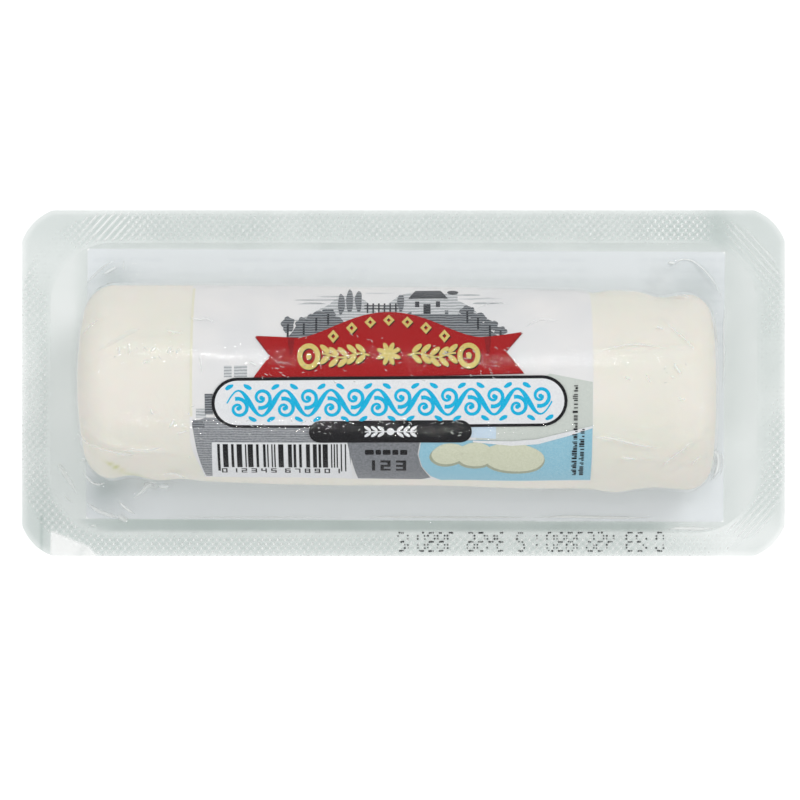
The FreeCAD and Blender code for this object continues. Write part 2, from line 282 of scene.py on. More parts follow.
def film_material(name, haze, roughness, dimple, dimple_height, gloss):
    """Polyamide and polyethylene film: clear where it clings, and greyer and greener where it stands alone,
    partly its own tint and partly painted shade of what lies beneath. It is white with painted highlights and
    glare on its creases, folds and knurl, over a faint real haze, and glossy with dimples that break up
    glints. The gloss is a share of a free film's: it is less where one side is wetted by what the film clings
    to."""
    material, tree = new_material(name)
    place = node(tree, "TexCoord").outputs["Object"]
    ripples = node(tree, "TexNoise", {"Scale": 1 / (dimple * MM), "Detail": 2.0, "Roughness": 0.55},
                   {"Vector": place})
    bump = node(tree, "Bump", {"Strength": 1.0, "Distance": dimple_height * MM},
                {"Height": ripples.outputs["Fac"]})
    clouds = node(tree, "TexNoise", {"Scale": 1 / (9 * MM), "Detail": 4.0}, {"Vector": place})
    cloudy = node(tree, "MapRange", {"From Min": 0.3, "From Max": 0.7, "To Min": haze * 0.4,
                                     "To Max": haze * 1.6}, {"Value": clouds.outputs["Fac"]})
    # Grey-green tint: partly the film's own, partly painted shade of what lies beneath it
    murk_and_shade = node(tree, "Attribute", attribute_name="murk_and_shade").outputs["Fac"]
    # Painted highlights and glare on creases, folds and the knurl, added to the film's real haze
    painted_highlight = node(tree, "Attribute", attribute_name="painted_highlight").outputs["Fac"]
    face = node(tree, "NewGeometry").outputs["Backfacing"]
    front = node(tree, "Math", {0: 1.0}, {1: face}, operation="SUBTRACT").outputs[0]
    murk_and_shade_share = node(tree, "Math", links={0: murk_and_shade, 1: front}, operation="MULTIPLY").outputs[0]
    haze_and_highlight = node(tree, "Math", links={0: painted_highlight, 1: cloudy.outputs["Result"]}, operation="ADD").outputs[0]
    haze_and_highlight_share = node(tree, "Math", links={0: haze_and_highlight, 1: front}, operation="MULTIPLY",
                      use_clamp=True).outputs[0]
    angle = node(tree, "Fresnel", {"IOR": 1.42}, {"Normal": bump.outputs["Normal"]})
    facing = node(tree, "Math", {1: gloss}, {0: front}, operation="MULTIPLY").outputs[0]
    gloss_share = node(tree, "Math", links={0: angle.outputs["Fac"], 1: facing},
                       operation="MULTIPLY").outputs[0]
    tint = node(tree, "Mix", {6: hue("#FEFEFE"), 7: hue("#B8C3C0")}, {0: murk_and_shade_share}, data_type="RGBA")
    clear = node(tree, "BsdfTransparent", links={"Color": tint.outputs[2]})
    white_haze_and_highlight = node(tree, "BsdfDiffuse", {"Color": hue("#F4F7F6")})
    shine = node(tree, "BsdfAnisotropic", {"Color": hue("#FFFFFF"), "Roughness": roughness},
                 {"Normal": bump.outputs["Normal"]})
    body = node(tree, "MixShader", links={0: haze_and_highlight_share, 1: clear.outputs[0], 2: white_haze_and_highlight.outputs[0]})
    whole = node(tree, "MixShader", links={0: gloss_share, 1: body.outputs[0], 2: shine.outputs[0]})
    output(tree, whole.outputs[0])
    return material


def cheese_material():
    """Fresh cow milk cheese, pressed and rolled: creamy white and a little see-through at its skin,
    with faint warmer patches, a moist, fine-grained surface and a yellow-green trace of whey."""
    material, tree = new_material("fresh_cow_milk_cheese")
    place = node(tree, "TexCoord").outputs["Object"]
    patches = node(tree, "TexNoise", {"Scale": 1 / (14 * MM), "Detail": 2.0}, {"Vector": place})
    warm = node(tree, "ValToRGB", links={"Fac": patches.outputs["Fac"]})
    set_stops(warm, (0.38, "#EEEDE2"), (0.64, "#F3EFE6"))
    curd = node(tree, "TexNoise", {"Scale": 1 / (1.6 * MM), "Detail": 5.0, "Roughness": 0.65},
                {"Vector": place})
    specks = node(tree, "MapRange", {"From Min": 0.35, "From Max": 0.75, "To Min": 0.97, "To Max": 1.0},
                  {"Value": curd.outputs["Fac"]})
    shaded = node(tree, "Mix", {0: 1.0}, {6: warm.outputs["Color"], 7: specks.outputs["Result"]},
                  data_type="RGBA", blend_type="MULTIPLY")
    whey = node(tree, "Attribute", attribute_name="whey").outputs["Fac"]
    stained = node(tree, "Mix", {7: hue("#C3C66E")}, {0: whey, 6: shaded.outputs[2]}, data_type="RGBA")
    bump = node(tree, "Bump", {"Strength": 0.6, "Distance": 0.08 * MM}, {"Height": curd.outputs["Fac"]})
    wet = node(tree, "MapRange", {"From Min": 0.3, "From Max": 0.7, "To Min": 0.38, "To Max": 0.55},
               {"Value": patches.outputs["Fac"]})
    skin = node(tree, "BsdfPrincipled", {"Subsurface Weight": 0.15, "Subsurface Scale": 1.5 * MM, "IOR": 1.4,
                                         "Specular IOR Level": 0.1},
                {"Base Color": stained.outputs[2], "Roughness": wet.outputs["Result"],
                 "Normal": bump.outputs["Normal"]})
    output(tree, skin.outputs[0])
    return material


def ink_material(name, colour, second, roughness=0.35, hatch=0.0, worn=0.45):
    """Gravure ink on plastic film: even colour with a fine dry speckle where the ink is thin, a soft sheen,
    and for engraved areas thin lines, drawn about 0.4 mm apart so that they show. The more worn the lines
    are, the more the speckle takes over."""
    speckle = 0.04
    material, tree = new_material(name)
    place = node(tree, "TexCoord").outputs["Object"]
    grain = node(tree, "TexNoise", {"Scale": 1 / (0.35 * MM), "Detail": 3.0, "Roughness": 0.7},
                 {"Vector": place})
    tone = grain.outputs["Fac"]
    if hatch:
        lines = node(tree, "TexWave", {"Scale": WAVE_SCALE / (hatch * MM), "Distortion": 2.4, "Detail": 2.0,
                                       "Detail Scale": 0.6}, {"Vector": place}, bands_direction="Y")
        mixed = node(tree, "Mix", {0: worn}, {2: lines.outputs["Fac"], 3: tone}, data_type="FLOAT")
        tone = mixed.outputs[0]
    span = 0.25 if hatch else 0.12
    ramp = node(tree, "ValToRGB", links={"Fac": tone})
    set_stops(ramp, (0.5 - span, colour), (0.5 + span, second))
    bump = node(tree, "Bump", {"Strength": 0.5, "Distance": 0.02 * MM}, {"Height": grain.outputs["Fac"]})
    sheen = node(tree, "MapRange", {"From Min": 0.3, "From Max": 0.7, "To Min": roughness - speckle,
                                    "To Max": roughness + speckle}, {"Value": grain.outputs["Fac"]})
    skin = node(tree, "BsdfPrincipled", {"IOR": 1.45, "Specular IOR Level": 0.04},
                {"Base Color": ramp.outputs["Color"], "Roughness": sheen.outputs["Result"],
                 "Normal": bump.outputs["Normal"]})
    output(tree, skin.outputs[0])
    return material


def wrap_material():
    """White printed plastic wrap: smooth, faintly cool white, with soft grey clouds of painted shade at
    random places, standing for where it lies unevenly.
    """
    material, tree = new_material("white_plastic_wrap_label")
    place = node(tree, "TexCoord").outputs["Object"]
    clouds = node(tree, "TexNoise", {"Scale": 1 / (11 * MM), "Detail": 3.0}, {"Vector": place})
    ramp = node(tree, "ValToRGB", links={"Fac": clouds.outputs["Fac"]})
    set_stops(ramp, (0.35, "#E5E6E7"), (0.65, "#EEEDEC"))
    fine = node(tree, "TexNoise", {"Scale": 1 / (1.2 * MM), "Detail": 4.0}, {"Vector": place})
    bump = node(tree, "Bump", {"Strength": 0.5, "Distance": 0.04 * MM}, {"Height": fine.outputs["Fac"]})
    sheen = node(tree, "MapRange", {"From Min": 0.3, "From Max": 0.7, "To Min": 0.3, "To Max": 0.42},
                 {"Value": fine.outputs["Fac"]})
    skin = node(tree, "BsdfPrincipled", {"IOR": 1.45, "Specular IOR Level": 0.06},
                {"Base Color": ramp.outputs["Color"], "Roughness": sheen.outputs["Result"],
                 "Normal": bump.outputs["Normal"]})
    output(tree, skin.outputs[0])
    return material


def paper_material(name, ground, print_colour, line_gap, strength, lowest):
    """Coated label paper: cool white with a fine fibre tooth. The printing on its far side shows through as
    faint grey rows of plain marks, from the height lowest upwards."""
    material, tree = new_material(name)
    place = node(tree, "TexCoord").outputs["Object"]
    split = node(tree, "SeparateXYZ", links={"Vector": place})
    rows = node(tree, "TexWave", {"Scale": WAVE_SCALE / (line_gap * MM)}, {"Vector": place},
                bands_direction="Y")
    words = node(tree, "TexNoise", {"Scale": 1 / (1.1 * MM), "Detail": 1.0}, {"Vector": place})
    row_mask = node(tree, "MapRange", {"From Min": 0.45, "From Max": 0.65}, {"Value": rows.outputs["Fac"]})
    word_mask = node(tree, "MapRange", {"From Min": 0.42, "From Max": 0.5}, {"Value": words.outputs["Fac"]})
    columns = node(tree, "TexWave", {"Scale": WAVE_SCALE / (37.0 * MM)}, {"Vector": place},
                   bands_direction="X")
    column_mask = node(tree, "MapRange", {"From Min": 0.12, "From Max": 0.2},
                       {"Value": columns.outputs["Fac"]})
    above = node(tree, "MapRange", {"From Min": lowest * MM, "From Max": (lowest + 0.4) * MM},
                 {"Value": split.outputs["Y"]})
    under = node(tree, "MapRange", {"From Min": 22.4 * MM, "From Max": 22.0 * MM},
                 {"Value": split.outputs["Y"]})
    marks = row_mask.outputs["Result"]
    for mask in (word_mask, column_mask, above, under):
        marks = node(tree, "Math", links={0: marks, 1: mask.outputs["Result"]},
                     operation="MULTIPLY").outputs[0]
    share = node(tree, "Math", {1: strength}, {0: marks}, operation="MULTIPLY")
    inked = node(tree, "Mix", {6: hue(ground), 7: hue(print_colour)}, {0: share.outputs[0]}, data_type="RGBA")
    fibre = node(tree, "TexNoise", {"Scale": 1 / (0.5 * MM), "Detail": 4.0}, {"Vector": place})
    bump = node(tree, "Bump", {"Strength": 0.4, "Distance": 0.02 * MM}, {"Height": fibre.outputs["Fac"]})
    tooth = node(tree, "MapRange", {"From Min": 0.3, "From Max": 0.7, "To Min": 0.5, "To Max": 0.65},
                 {"Value": fibre.outputs["Fac"]})
    skin = node(tree, "BsdfPrincipled", {"IOR": 1.45},
                {"Base Color": inked.outputs[2], "Roughness": tooth.outputs["Result"],
                 "Normal": bump.outputs["Normal"]})
    output(tree, skin.outputs[0])
    return material


FORMED_FILM = film_material("clear_formed_vacuum_film", 0.004, 0.06, 1.2, 0.13, 0.45)
BASE_FILM = film_material("clear_base_film", 0.02, 0.1, 6.0, 0.05, 0.15)
WELDED_FILM = film_material("welded_film_band", 0.04, 0.12, 3.0, 0.03, 0.6)
CHEESE = cheese_material()
WRAP = wrap_material()
PAPER_TOP = paper_material("coated_label_paper_back", "#F1F6F9", "#C3CBD2", 1.9, 0.1, 6.0)
PAPER_PRINT = paper_material("coated_label_paper_printed_side", "#F2F3F4", "#3A3F48", 1.9, 0.85, -22.4)
RED_INK = ink_material("red_gravure_ink", "#A00E13", "#AC1719")
DARK_RED_INK = ink_material("dark_red_gravure_ink", "#7F1419", "#92191E")
GOLD_INK = ink_material("pale_gold_ink", "#CDB763", "#DBC97C")
CYAN_INK = ink_material("cyan_ink", "#00AEDC", "#0FBCE6")
BLACK_INK = ink_material("black_ink", "#0B0A0F", "#15151A")
WHITE_INK = ink_material("white_ink", "#E4E6E9", "#ECEEF0")
BLUE_INK = ink_material("light_blue_ink", "#92C6DA", "#A0CEDF")
PALE_BLUE_INK = ink_material("pale_blue_ink", "#C6DBEC", "#D0E1EE")
GREY_GREEN_INK = ink_material("pale_grey_green_ink", "#CBD2CC", "#D3D9D3")
CREAM_INK = ink_material("cream_ink", "#D2D6BD", "#DCDFC9")
SHADE_INK = ink_material("olive_grey_shade_ink", "#A3A993", "#B0B5A0")
EDGE_INK = ink_material("pale_straw_edge_ink", "#E6E4D0", "#ECEAD9")
ENGRAVED_LIGHT = ink_material("light_engraved_grey_ink", "#A4A9AC", "#D9DBDD", hatch=0.5)
ENGRAVED_MID = ink_material("mid_engraved_grey_ink", "#4C5156", "#969A9E", hatch=0.42)
ENGRAVED_DARK = ink_material("dark_engraved_grey_ink", "#24272B", "#54585D", hatch=0.36)
SILVER_INK = ink_material("silver_glitter_ink", "#6C7075", "#B4B7BB", roughness=0.3, hatch=0.4, worn=0.72)
GREY_INK = ink_material("plain_grey_ink", "#74787D", "#8D9095")
CODE_INK = ink_material("black_ink_jet_dots", "#26272A", "#404245")


# ---------------------------------------------------------------- the log's own shape

# Soft places in the roll: where along it, round it (0 back, 90 top, 180 front), how deep, and how far it
# spreads along (mm) and round (degrees). A negative depth stands proud.
SOFT_PLACES = (
    (46.4, 8, 1.1, 3.2, 26),
    (34.0, 5, 0.5, 1.6, 20),
    (52.0, 30, 0.6, 5.0, 40),
    (-47.5, 184, 0.9, 3.2, 26),
    (-37.5, 182, 0.4, 3.0, 20),
    (37.5, 178, -0.6, 3.4, 24),
    (45.5, 182, 0.35, 4.0, 24),
    (-46.0, 150, 0.5, 5.0, 12),
    (48.0, 140, 0.5, 6.0, 12),
)
END_DOME = {-1: 2.3, 1: 0.7}    # how far the middle of each end stands out past its rim
LOG_TURN = -0.0142              # the log lies a little askew in the pack: across for each unit along


def log_place(x, y, z):
    """Where the hand-rolled log has a point of a true cylinder that lies about the log's own middle."""
    share = math.hypot(y, z) / LOG_RADIUS
    turn = math.atan2(z, y)
    girth = 0.972 + 0.022 * smooth(-52, -10, x) - 0.004 * smooth(20, 50, x)
    lump = 0.28 * noise.noise(Vector((x / 19, 1.3 * math.cos(turn), 1.3 * math.sin(turn) + 4.0)))
    for along, round_from_back, depth, spread, round_spread in SOFT_PLACES:
        off = (math.degrees(turn) - round_from_back + 180) % 360 - 180
        lump -= depth * math.exp(-((x - along) / spread) ** 2 - (off / round_spread) ** 2)
    grown = girth + lump * min(share, 1.0) / LOG_RADIUS
    side = -1 if x < 0 else 1
    dome = END_DOME[side] * min(share, 1.05) ** 2 * smooth(0.55 * LOG_HALF, LOG_HALF, abs(x))
    x_real = LOG_MIDDLE.x + x - side * dome + 0.2 * smooth(-10, 10, x) - 0.6 * smooth(34, 52, x)
    return (x_real, LOG_MIDDLE.y + y * grown + LOG_TURN * x, LOG_MIDDLE.z + z * (grown + 0.006))


def log_fold(x, y, z):
    """The height of the folds that cheese and film share, fading out where the sides turn down."""
    return fold_height(LOG_FOLDS, x, y) * smooth(LOG_MIDDLE.z, LOG_MIDDLE.z + 3, z)


def whey_trace(x, y, z):
    """How strongly whey has stained the cheese: a short streak near the front of the left end, and its
    fainter tail."""
    streak = 0.85 * math.exp(-((x + 49.4) / 1.1) ** 2 - ((y + 14.3 + 0.55 * (x + 49.4)) / 0.35) ** 2)
    tail = 0.3 * math.exp(-((x + 46.4) / 2.6) ** 2 - ((y + 16.0 + 0.25 * (x + 46.4)) / 0.5) ** 2)
    return streak + tail


def make_cheese():
    """The cheese itself: a soft roll with rounded rims, domed ends, and an underside flattened by its
    weight."""
    log = begin("cheese_roll", bpy.ops.mesh.primitive_cylinder_add, vertices=216, radius=LOG_RADIUS * MM,
                depth=2 * LOG_HALF * MM, end_fill_type="NGON", rotation=(0, math.pi / 2, 0))
    bpy.ops.object.transform_apply(location=True, rotation=True, scale=True)
    select_edges(log, lambda a, b: abs(a.x - b.x) < 0.01)
    bpy.ops.mesh.bevel(offset=LOG_RIM * MM, segments=8, profile=0.5)
    close_edit()
    select_edges(log, lambda a, b: abs(a.x - b.x) > LOG_HALF)
    bpy.ops.mesh.subdivide(number_cuts=190)
    close_edit()
    select_faces(log, lambda middle, normal: abs(middle.x) > LOG_HALF - 0.01 and abs(normal.x) > 0.99)
    for _ in range(10):
        bpy.ops.mesh.inset(thickness=1.2 * MM)
    bpy.ops.mesh.poke()
    close_edit()

    def place(x, y, z):
        real = Vector(log_place(x, y, z))
        out = Vector((0, real.y - LOG_MIDDLE.y, real.z - LOG_MIDDLE.z))
        real += out.normalized() * 0.8 * log_fold(real.x, real.y, real.z)
        return real.x, real.y, max(real.z, LOG_LOW.z)

    move_points(log, place)
    mark_points(log, "whey", whey_trace)
    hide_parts("cheese_log")
    return finish(log, "cheese", CHEESE, smooth_angle=60)


# ---------------------------------------------------------------- the printed wrap label

WRAP_FRONT = -20.3       # its front edge, round the skin from the top of the log, and its back edge
WRAP_BACK = 33.0
PRINT_LEAN = 0.022       # the print runs a little askew of the log


def on_wrap(along, around, lift):
    """A point of the wrap label's print: along the pack, and round the skin from the top towards the back."""
    turn = (around + PRINT_LEAN * along) / LOG_RADIUS
    radius = LOG_RADIUS + lift
    return log_place(along - LOG_MIDDLE.x, radius * math.sin(turn), radius * math.cos(turn))


# Creases of the wrap: from and to (along, around), half width and height
WRAP_CREASES = (
    (12.5, 17.0, 19.5, 22.5, 0.5, 0.10), (19.0, 11.0, 27.0, 16.5, 0.5, 0.07),
    (-33.0, 19.0, -24.0, 15.5, 0.5, 0.06), (13.0, 20.5, 14.5, 25.0, 0.5, 0.14),
    (-28.0, 10.0, -36.0, 8.5, 0.5, 0.06), (8.0, 22.0, 30.0, 23.2, 0.6, 0.06),
)


def wrap_fold(along, around):
    """Shallow creases and puckers in the wrap label, as a height."""
    crease = 0.0
    for x0, t0, x1, t1, width, height in WRAP_CREASES:
        run = Vector((x1 - x0, t1 - t0))
        here = Vector((along - x0, around - t0))
        share = min(max(here.dot(run) / run.length_squared, 0), 1)
        off = (here - run * share).length
        crease += height * math.exp(-(off / width) ** 2) * math.sin(math.pi * share) ** 0.5
    return crease


def make_wrap():
    """The wrap label: one thin sheet round the top, the front and the back of the log."""
    sheet = begin_grid("printed_wrap_label", 120, 94)
    left, right = WRAP_LOW.x, WRAP_HIGH.x

    def place(x, y, z):
        across, up = grid_share(x), grid_share(y)
        around = WRAP_FRONT + (WRAP_BACK - WRAP_FRONT) * up
        front_edge = 1 - smooth(0.0, 0.06, up)
        ragged = 0.35 * noise.noise(Vector((across * 14, 3.0, 0.0))) * front_edge
        slant = 2.3 * smooth(-9.0, WRAP_FRONT, around)
        along = left + slant + (right - left - slant) * across
        turn_back = PRINT_LEAN * along
        return on_wrap(along, around + ragged - turn_back * 0.2, WRAP_LIFT + wrap_fold(along, around))

    move_points(sheet, place)
    thicken(sheet, 0.1)
    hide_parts("printed_label")
    return finish(sheet, "printed_sheet", WRAP)


# Flat outlines for the print, as lists of (along, around) points

def box_outline(left, low, right, high, corner=0.0, steps=8):
    """A rectangle with rounded corners."""
    if not corner:
        return [(left, low), (right, low), (right, high), (left, high)]
    points = []
    for x, y, start in ((right - corner, low + corner, -90), (right - corner, high - corner, 0),
                        (left + corner, high - corner, 90), (left + corner, low + corner, 180)):
        for step in range(steps + 1):
            angle = math.radians(start + 90 * step / steps)
            points.append((x + corner * math.cos(angle), y + corner * math.sin(angle)))
    return points


def boxes(*places):
    """One plain rectangle for each (left, low, right, high)."""
    return [[box_outline(*place)] for place in places]


def oval_outline(x, y, wide, high, turn=0.0, points=28, wobble=0.0):
    """An oval, or with a wobble a softer natural shape."""
    made = []
    for step in range(points):
        angle = 2 * math.pi * step / points
        out = 1 + wobble * math.sin(3 * angle + x) + 0.6 * wobble * math.sin(5 * angle + y)
        a, b = wide / 2 * out * math.cos(angle), high / 2 * out * math.sin(angle)
        made.append((x + a * math.cos(turn) - b * math.sin(turn),
                     y + a * math.sin(turn) + b * math.cos(turn)))
    return made


def hill_outline(left, right, foot, height, peak=0.5, roughness=0.0, points=40):
    """A rolling hill that stands on a level foot."""
    made = [(right, foot), (left, foot)]
    for step in range(1, points):
        share = step / points
        bent = share ** (math.log(0.5) / math.log(peak))
        rough = roughness * noise.noise(Vector((share * 11, foot, left)))
        rise = max(height * math.sin(math.pi * bent) ** 1.3 + rough, 0.05)
        made.append((left + (right - left) * share, foot + rise))
    return made


def stroke_outline(points, widths):
    """A pen stroke of changing width along a line of points."""
    left, right = [], []
    for place, (x, y) in enumerate(points):
        before, after = points[max(place - 1, 0)], points[min(place + 1, len(points) - 1)]
        run = Vector((after[0] - before[0], after[1] - before[1])).normalized()
        half = widths[place] / 2
        left.append((x - run.y * half, y + run.x * half))
        right.append((x + run.y * half, y - run.x * half))
    return left + right[::-1]


def make_print(name, shapes, ink, layer):
    """One ink's shapes: each a list of closed outlines, an inner one being a hole. They are filled flat, cut
    across so that they can bend, laid round the log and given the ink's thickness."""
    parts = []
    for outlines in shapes:
        curve = bpy.data.curves.new(name, "CURVE")
        curve.dimensions = "2D"
        curve.fill_mode = "BOTH"
        for outline in outlines:
            spline = curve.splines.new("POLY")
            spline.points.add(len(outline) - 1)
            spline.use_cyclic_u = True
            for point, (along, around) in zip(spline.points, outline):
                point.co = (along * MM, around * MM, 0, 1)
        part = bpy.data.objects.new(name, curve)
        bpy.context.collection.objects.link(part)
        choose(part)
        bpy.ops.object.convert(target="MESH")
        parts.append(bpy.context.active_object)
    shape = join(name, parts)
    lows = [min(point.co[axis] for point in shape.data.vertices) for axis in (0, 1)]
    highs = [max(point.co[axis] for point in shape.data.vertices) for axis in (0, 1)]
    select_all_of(shape)
    bpy.ops.mesh.remove_doubles(threshold=0.002 * MM)
    for axis, gap in ((0, 1.3 * MM), (1, 0.9 * MM)):
        across = (1, 0, 0) if axis == 0 else (0, 1, 0)
        for cut in range(1, math.ceil((highs[axis] - lows[axis]) / gap)):
            at = [0, 0, 0]
            at[axis] = lows[axis] + cut * gap
            bpy.ops.mesh.select_all(action="SELECT")
            bpy.ops.mesh.bisect(plane_co=at, plane_no=across)
    close_edit()
    lift = WRAP_LIFT + INK_LIFT * layer

    def place(x, y, z):
        return on_wrap(x, y, lift + wrap_fold(x, y))

    move_points(shape, place)
    thicken(shape, THIN)
    return finish(shape, "printed_sheet", ink, smooth_angle=40)


def spiral_stroke(x, y, turn, way, radius, pen):
    """A tendril that curls in from its outer end, as the outline of one pen stroke."""
    points, widths = [], []
    for step in range(25):
        share = step / 24
        out = radius * (1 - 0.82 * share)
        angle = turn + way * 1.35 * 2 * math.pi * share
        points.append((x + out * math.cos(angle), y + out * math.sin(angle)))
        widths.append(pen * (1.0 - 0.45 * share))
    return stroke_outline(points, widths)


def scroll_outlines(start, end, middle, waves, rise, pen):
    """A running scroll: a waving stem with a curled tendril in each hollow and paired leaves outside each
    bend."""
    pitch = (end - start) / waves
    stem, widths = [], []
    for step in range(24 * waves + 1):
        x = start + pitch * step / 24
        stem.append((x, middle + rise * math.sin(2 * math.pi * step / 24)))
        swell = 0.75 + 0.25 * math.cos(4 * math.pi * step / 24)
        tip = 0.7 * smooth(0, 10, step) * smooth(24 * waves, 24 * waves - 10, step)
        widths.append(pen * swell * (0.3 + tip))
    made = []
    for part in range(2 * waves):
        made.append([stroke_outline(stem[12 * part:12 * part + 13], widths[12 * part:12 * part + 13])])
    for bend in range(2 * waves):
        side = 1 if bend % 2 == 0 else -1
        x = start + pitch * (bend / 2 + 0.25)
        eye = middle - side * 0.42 * rise
        made.append([spiral_stroke(x, eye, side * 1.9, -side, 0.82 * rise, 0.8 * pen)])
        made.append([oval_outline(x, eye, 0.9 * pen, 0.9 * pen, points=14)])
        for way in (-1, 1):
            leaf_x = x + way * 0.2 * pitch
            made.append([oval_outline(leaf_x, middle + side * 1.28 * rise, 0.72 * rise, 0.34 * rise,
                                      -way * side * 0.5, 18, 0.05)])
    return made


def leafy_crown(x, y, wide, tall):
    """The outlines of one round tree: a clump of five soft leaf masses."""
    made = [[oval_outline(x, y, wide, tall, wobble=0.08)]]
    for place in range(5):
        angle = 2 * math.pi * place / 5 + x
        made.append([oval_outline(x + 0.4 * wide * math.cos(angle), y + 0.36 * tall * math.sin(angle),
                                  0.45 * wide, 0.5 * tall, points=16, wobble=0.1)])
    return made


def make_landscape():
    """An engraved strip of country above the banner: far hills, tree rows, poplars, a fence and a farmstead.
    A few plain blocks of the same ink stand at the print's left edge."""
    far = [[hill_outline(-19.0, -3.0, 12.2, 6.4, 0.62, 0.9)],
           [hill_outline(-5.0, 14.5, 12.6, 8.6, 0.42, 0.9)]]
    near = [[hill_outline(-20.5, -7.0, 8.6, 5.6, 0.5, 0.7)], [hill_outline(-4.5, 17.5, 8.2, 6.9, 0.42, 0.7)]]
    walls = boxes((1.2, 13.6, 6.8, 18.2), (7.4, 13.4, 9.0, 20.2))
    crowns, dark = [], []
    for x, y, wide, tall in ((-19.6, 11.4, 1.9, 3.0), (-16.9, 11.5, 2.4, 2.4), (-14.8, 12.6, 2.6, 2.7),
                             (-12.8, 13.6, 2.1, 2.4), (10.6, 14.2, 2.2, 2.6), (12.4, 12.6, 2.4, 2.4),
                             (14.4, 11.0, 2.5, 2.2), (16.2, 9.9, 1.9, 1.6)):
        crowns += leafy_crown(x, y, wide, tall)
        dark += boxes((x - 0.17, y - tall, x + 0.17, y))
    for x, foot, tall in ((-10.6, 13.4, 6.2), (-9.2, 13.8, 7.9), (-7.7, 14.1, 7.0), (-0.6, 14.3, 5.4)):
        crowns.append([oval_outline(x, foot + tall / 2, 1.15, tall, wobble=0.07)])
    dark.append([[(0.7, 18.0), (7.3, 18.0), (6.1, 21.2), (1.9, 21.2)]])
    dark.append([oval_outline(8.2, 20.3, 1.9, 1.7)])
    dark += boxes((3.2, 13.6, 4.4, 16.2), *((pane, 15.4, pane + 0.7, 17.0) for pane in (1.8, 5.3)))
    for post in range(6):
        x = -6.3 + post * 0.95
        dark += boxes((x, 13.9, x + 0.26, 16.5))
    dark += boxes(*((-6.7, rail, -1.0, rail + 0.24) for rail in (14.9, 15.7)))
    blocks = boxes((-33.6, -4.6, -32.2, -1.0), (-35.9, -7.0, -33.7, -5.6))
    pale_blocks = boxes((-30.3, 1.8, -29.0, 3.8), (-28.6, 1.8, -26.4, 3.8), (-35.2, -5.2, -33.4, -3.6))
    for x, y, wide in ((-14.5, 17.6, 7.0), (-11.8, 18.8, 6.4), (-15.6, 16.4, 4.4), (10.6, 19.4, 5.0),
                       (12.6, 18.0, 7.4), (14.0, 16.6, 5.2), (-4.4, 20.4, 4.6)):
        far.append([oval_outline(x, y, wide, 0.55, 0.03, 24, 0.12)])
    make_print("print_far_hills", far + pale_blocks, ENGRAVED_LIGHT, 1)
    make_print("print_near_hills", near + blocks, ENGRAVED_MID, 2)
    make_print("print_farm_walls", walls, ENGRAVED_LIGHT, 3)
    make_print("print_tree_crowns", crowns, ENGRAVED_MID, 4)
    make_print("print_trunks_roofs_fence", dark, ENGRAVED_DARK, 5)


def make_banner():
    """A red banner with an arched top and notched tails, and gold ornament: a rosette between leafy branches,
    a ring at each end, and an arched row of lozenges."""
    middle, half = -2.6, 15.4

    def crest(x):
        return 8.6 + 5.5 * (0.5 + 0.5 * math.cos(math.pi * min(abs(x - middle) / half, 1))) ** 0.85

    top = [(middle + half * (step / 15 - 1), crest(middle + half * (step / 15 - 1))) for step in range(31)]
    banner = [(-25.2, 1.9), (-22.5, 5.5), (-25.0, 9.1), (-21.6, 8.9)] + top + \
             [(16.4, 9.0), (19.8, 9.6), (17.0, 6.0), (20.0, 2.2), (-2.6, 1.75)]
    banner_edge = [(x * 1.006 + 0.02, y - 0.22) for x, y in banner]
    folds = [[[(-19.6, 8.6), (-18.4, 8.5), (-18.8, 5.2), (-19.3, 5.4)]],
             [[(13.4, 8.7), (14.6, 8.8), (14.3, 5.6), (13.8, 5.4)]]]
    gold = []
    for place in range(-3, 4):
        x = middle + place * 3.1
        y = crest(x) - 2.0
        gold.append([[(x - 0.95, y), (x, y - 1.25), (x + 0.95, y), (x, y + 1.25)],
                     [(x - 0.36, y), (x, y - 0.48), (x + 0.36, y), (x, y + 0.48)]])
    for petal in range(8):
        turn = math.pi * petal / 4 + math.pi / 8
        gold.append([oval_outline(middle + 1.25 * math.cos(turn), 5.6 + 1.25 * math.sin(turn), 1.7, 0.8, turn,
                                  points=16)])
    gold.append([oval_outline(middle, 5.6, 0.9, 0.9, points=16)])
    for side in (-1, 1):
        stem = [(middle + side * (3.2 + 0.5 * step), 5.3 + 0.35 * math.sin(0.5 * step)) for step in range(17)]
        gold.append([stroke_outline(stem, [0.3] * 17)])
        for leaf in range(5):
            x, y = stem[3 * leaf + 2]
            for way in (-1, 1):
                gold.append([oval_outline(x + side * 0.5, y + way * 0.95, 2.1, 0.92, side * way * 0.75,
                                          points=16)])
        ring = middle + side * 13.4
        gold.append([oval_outline(ring, 5.2, 3.9, 4.6), oval_outline(ring, 5.2, 2.2, 2.8)])
        gold.append([oval_outline(ring, 5.2, 0.9, 1.2, points=16)])
    make_print("print_banner", [[banner]], RED_INK, 6)
    make_print("print_banner_folds", folds, DARK_RED_INK, 7)
    shadow = [[[(x + 0.14, y - 0.18) for x, y in outline] for outline in outlines] for outlines in gold]
    make_print("print_banner_gold_shadow", shadow, BLACK_INK, 8)
    make_print("print_banner_gold", gold, GOLD_INK, 9)
    make_print("print_banner_edge", [[banner_edge]], DARK_RED_INK, 5.5)


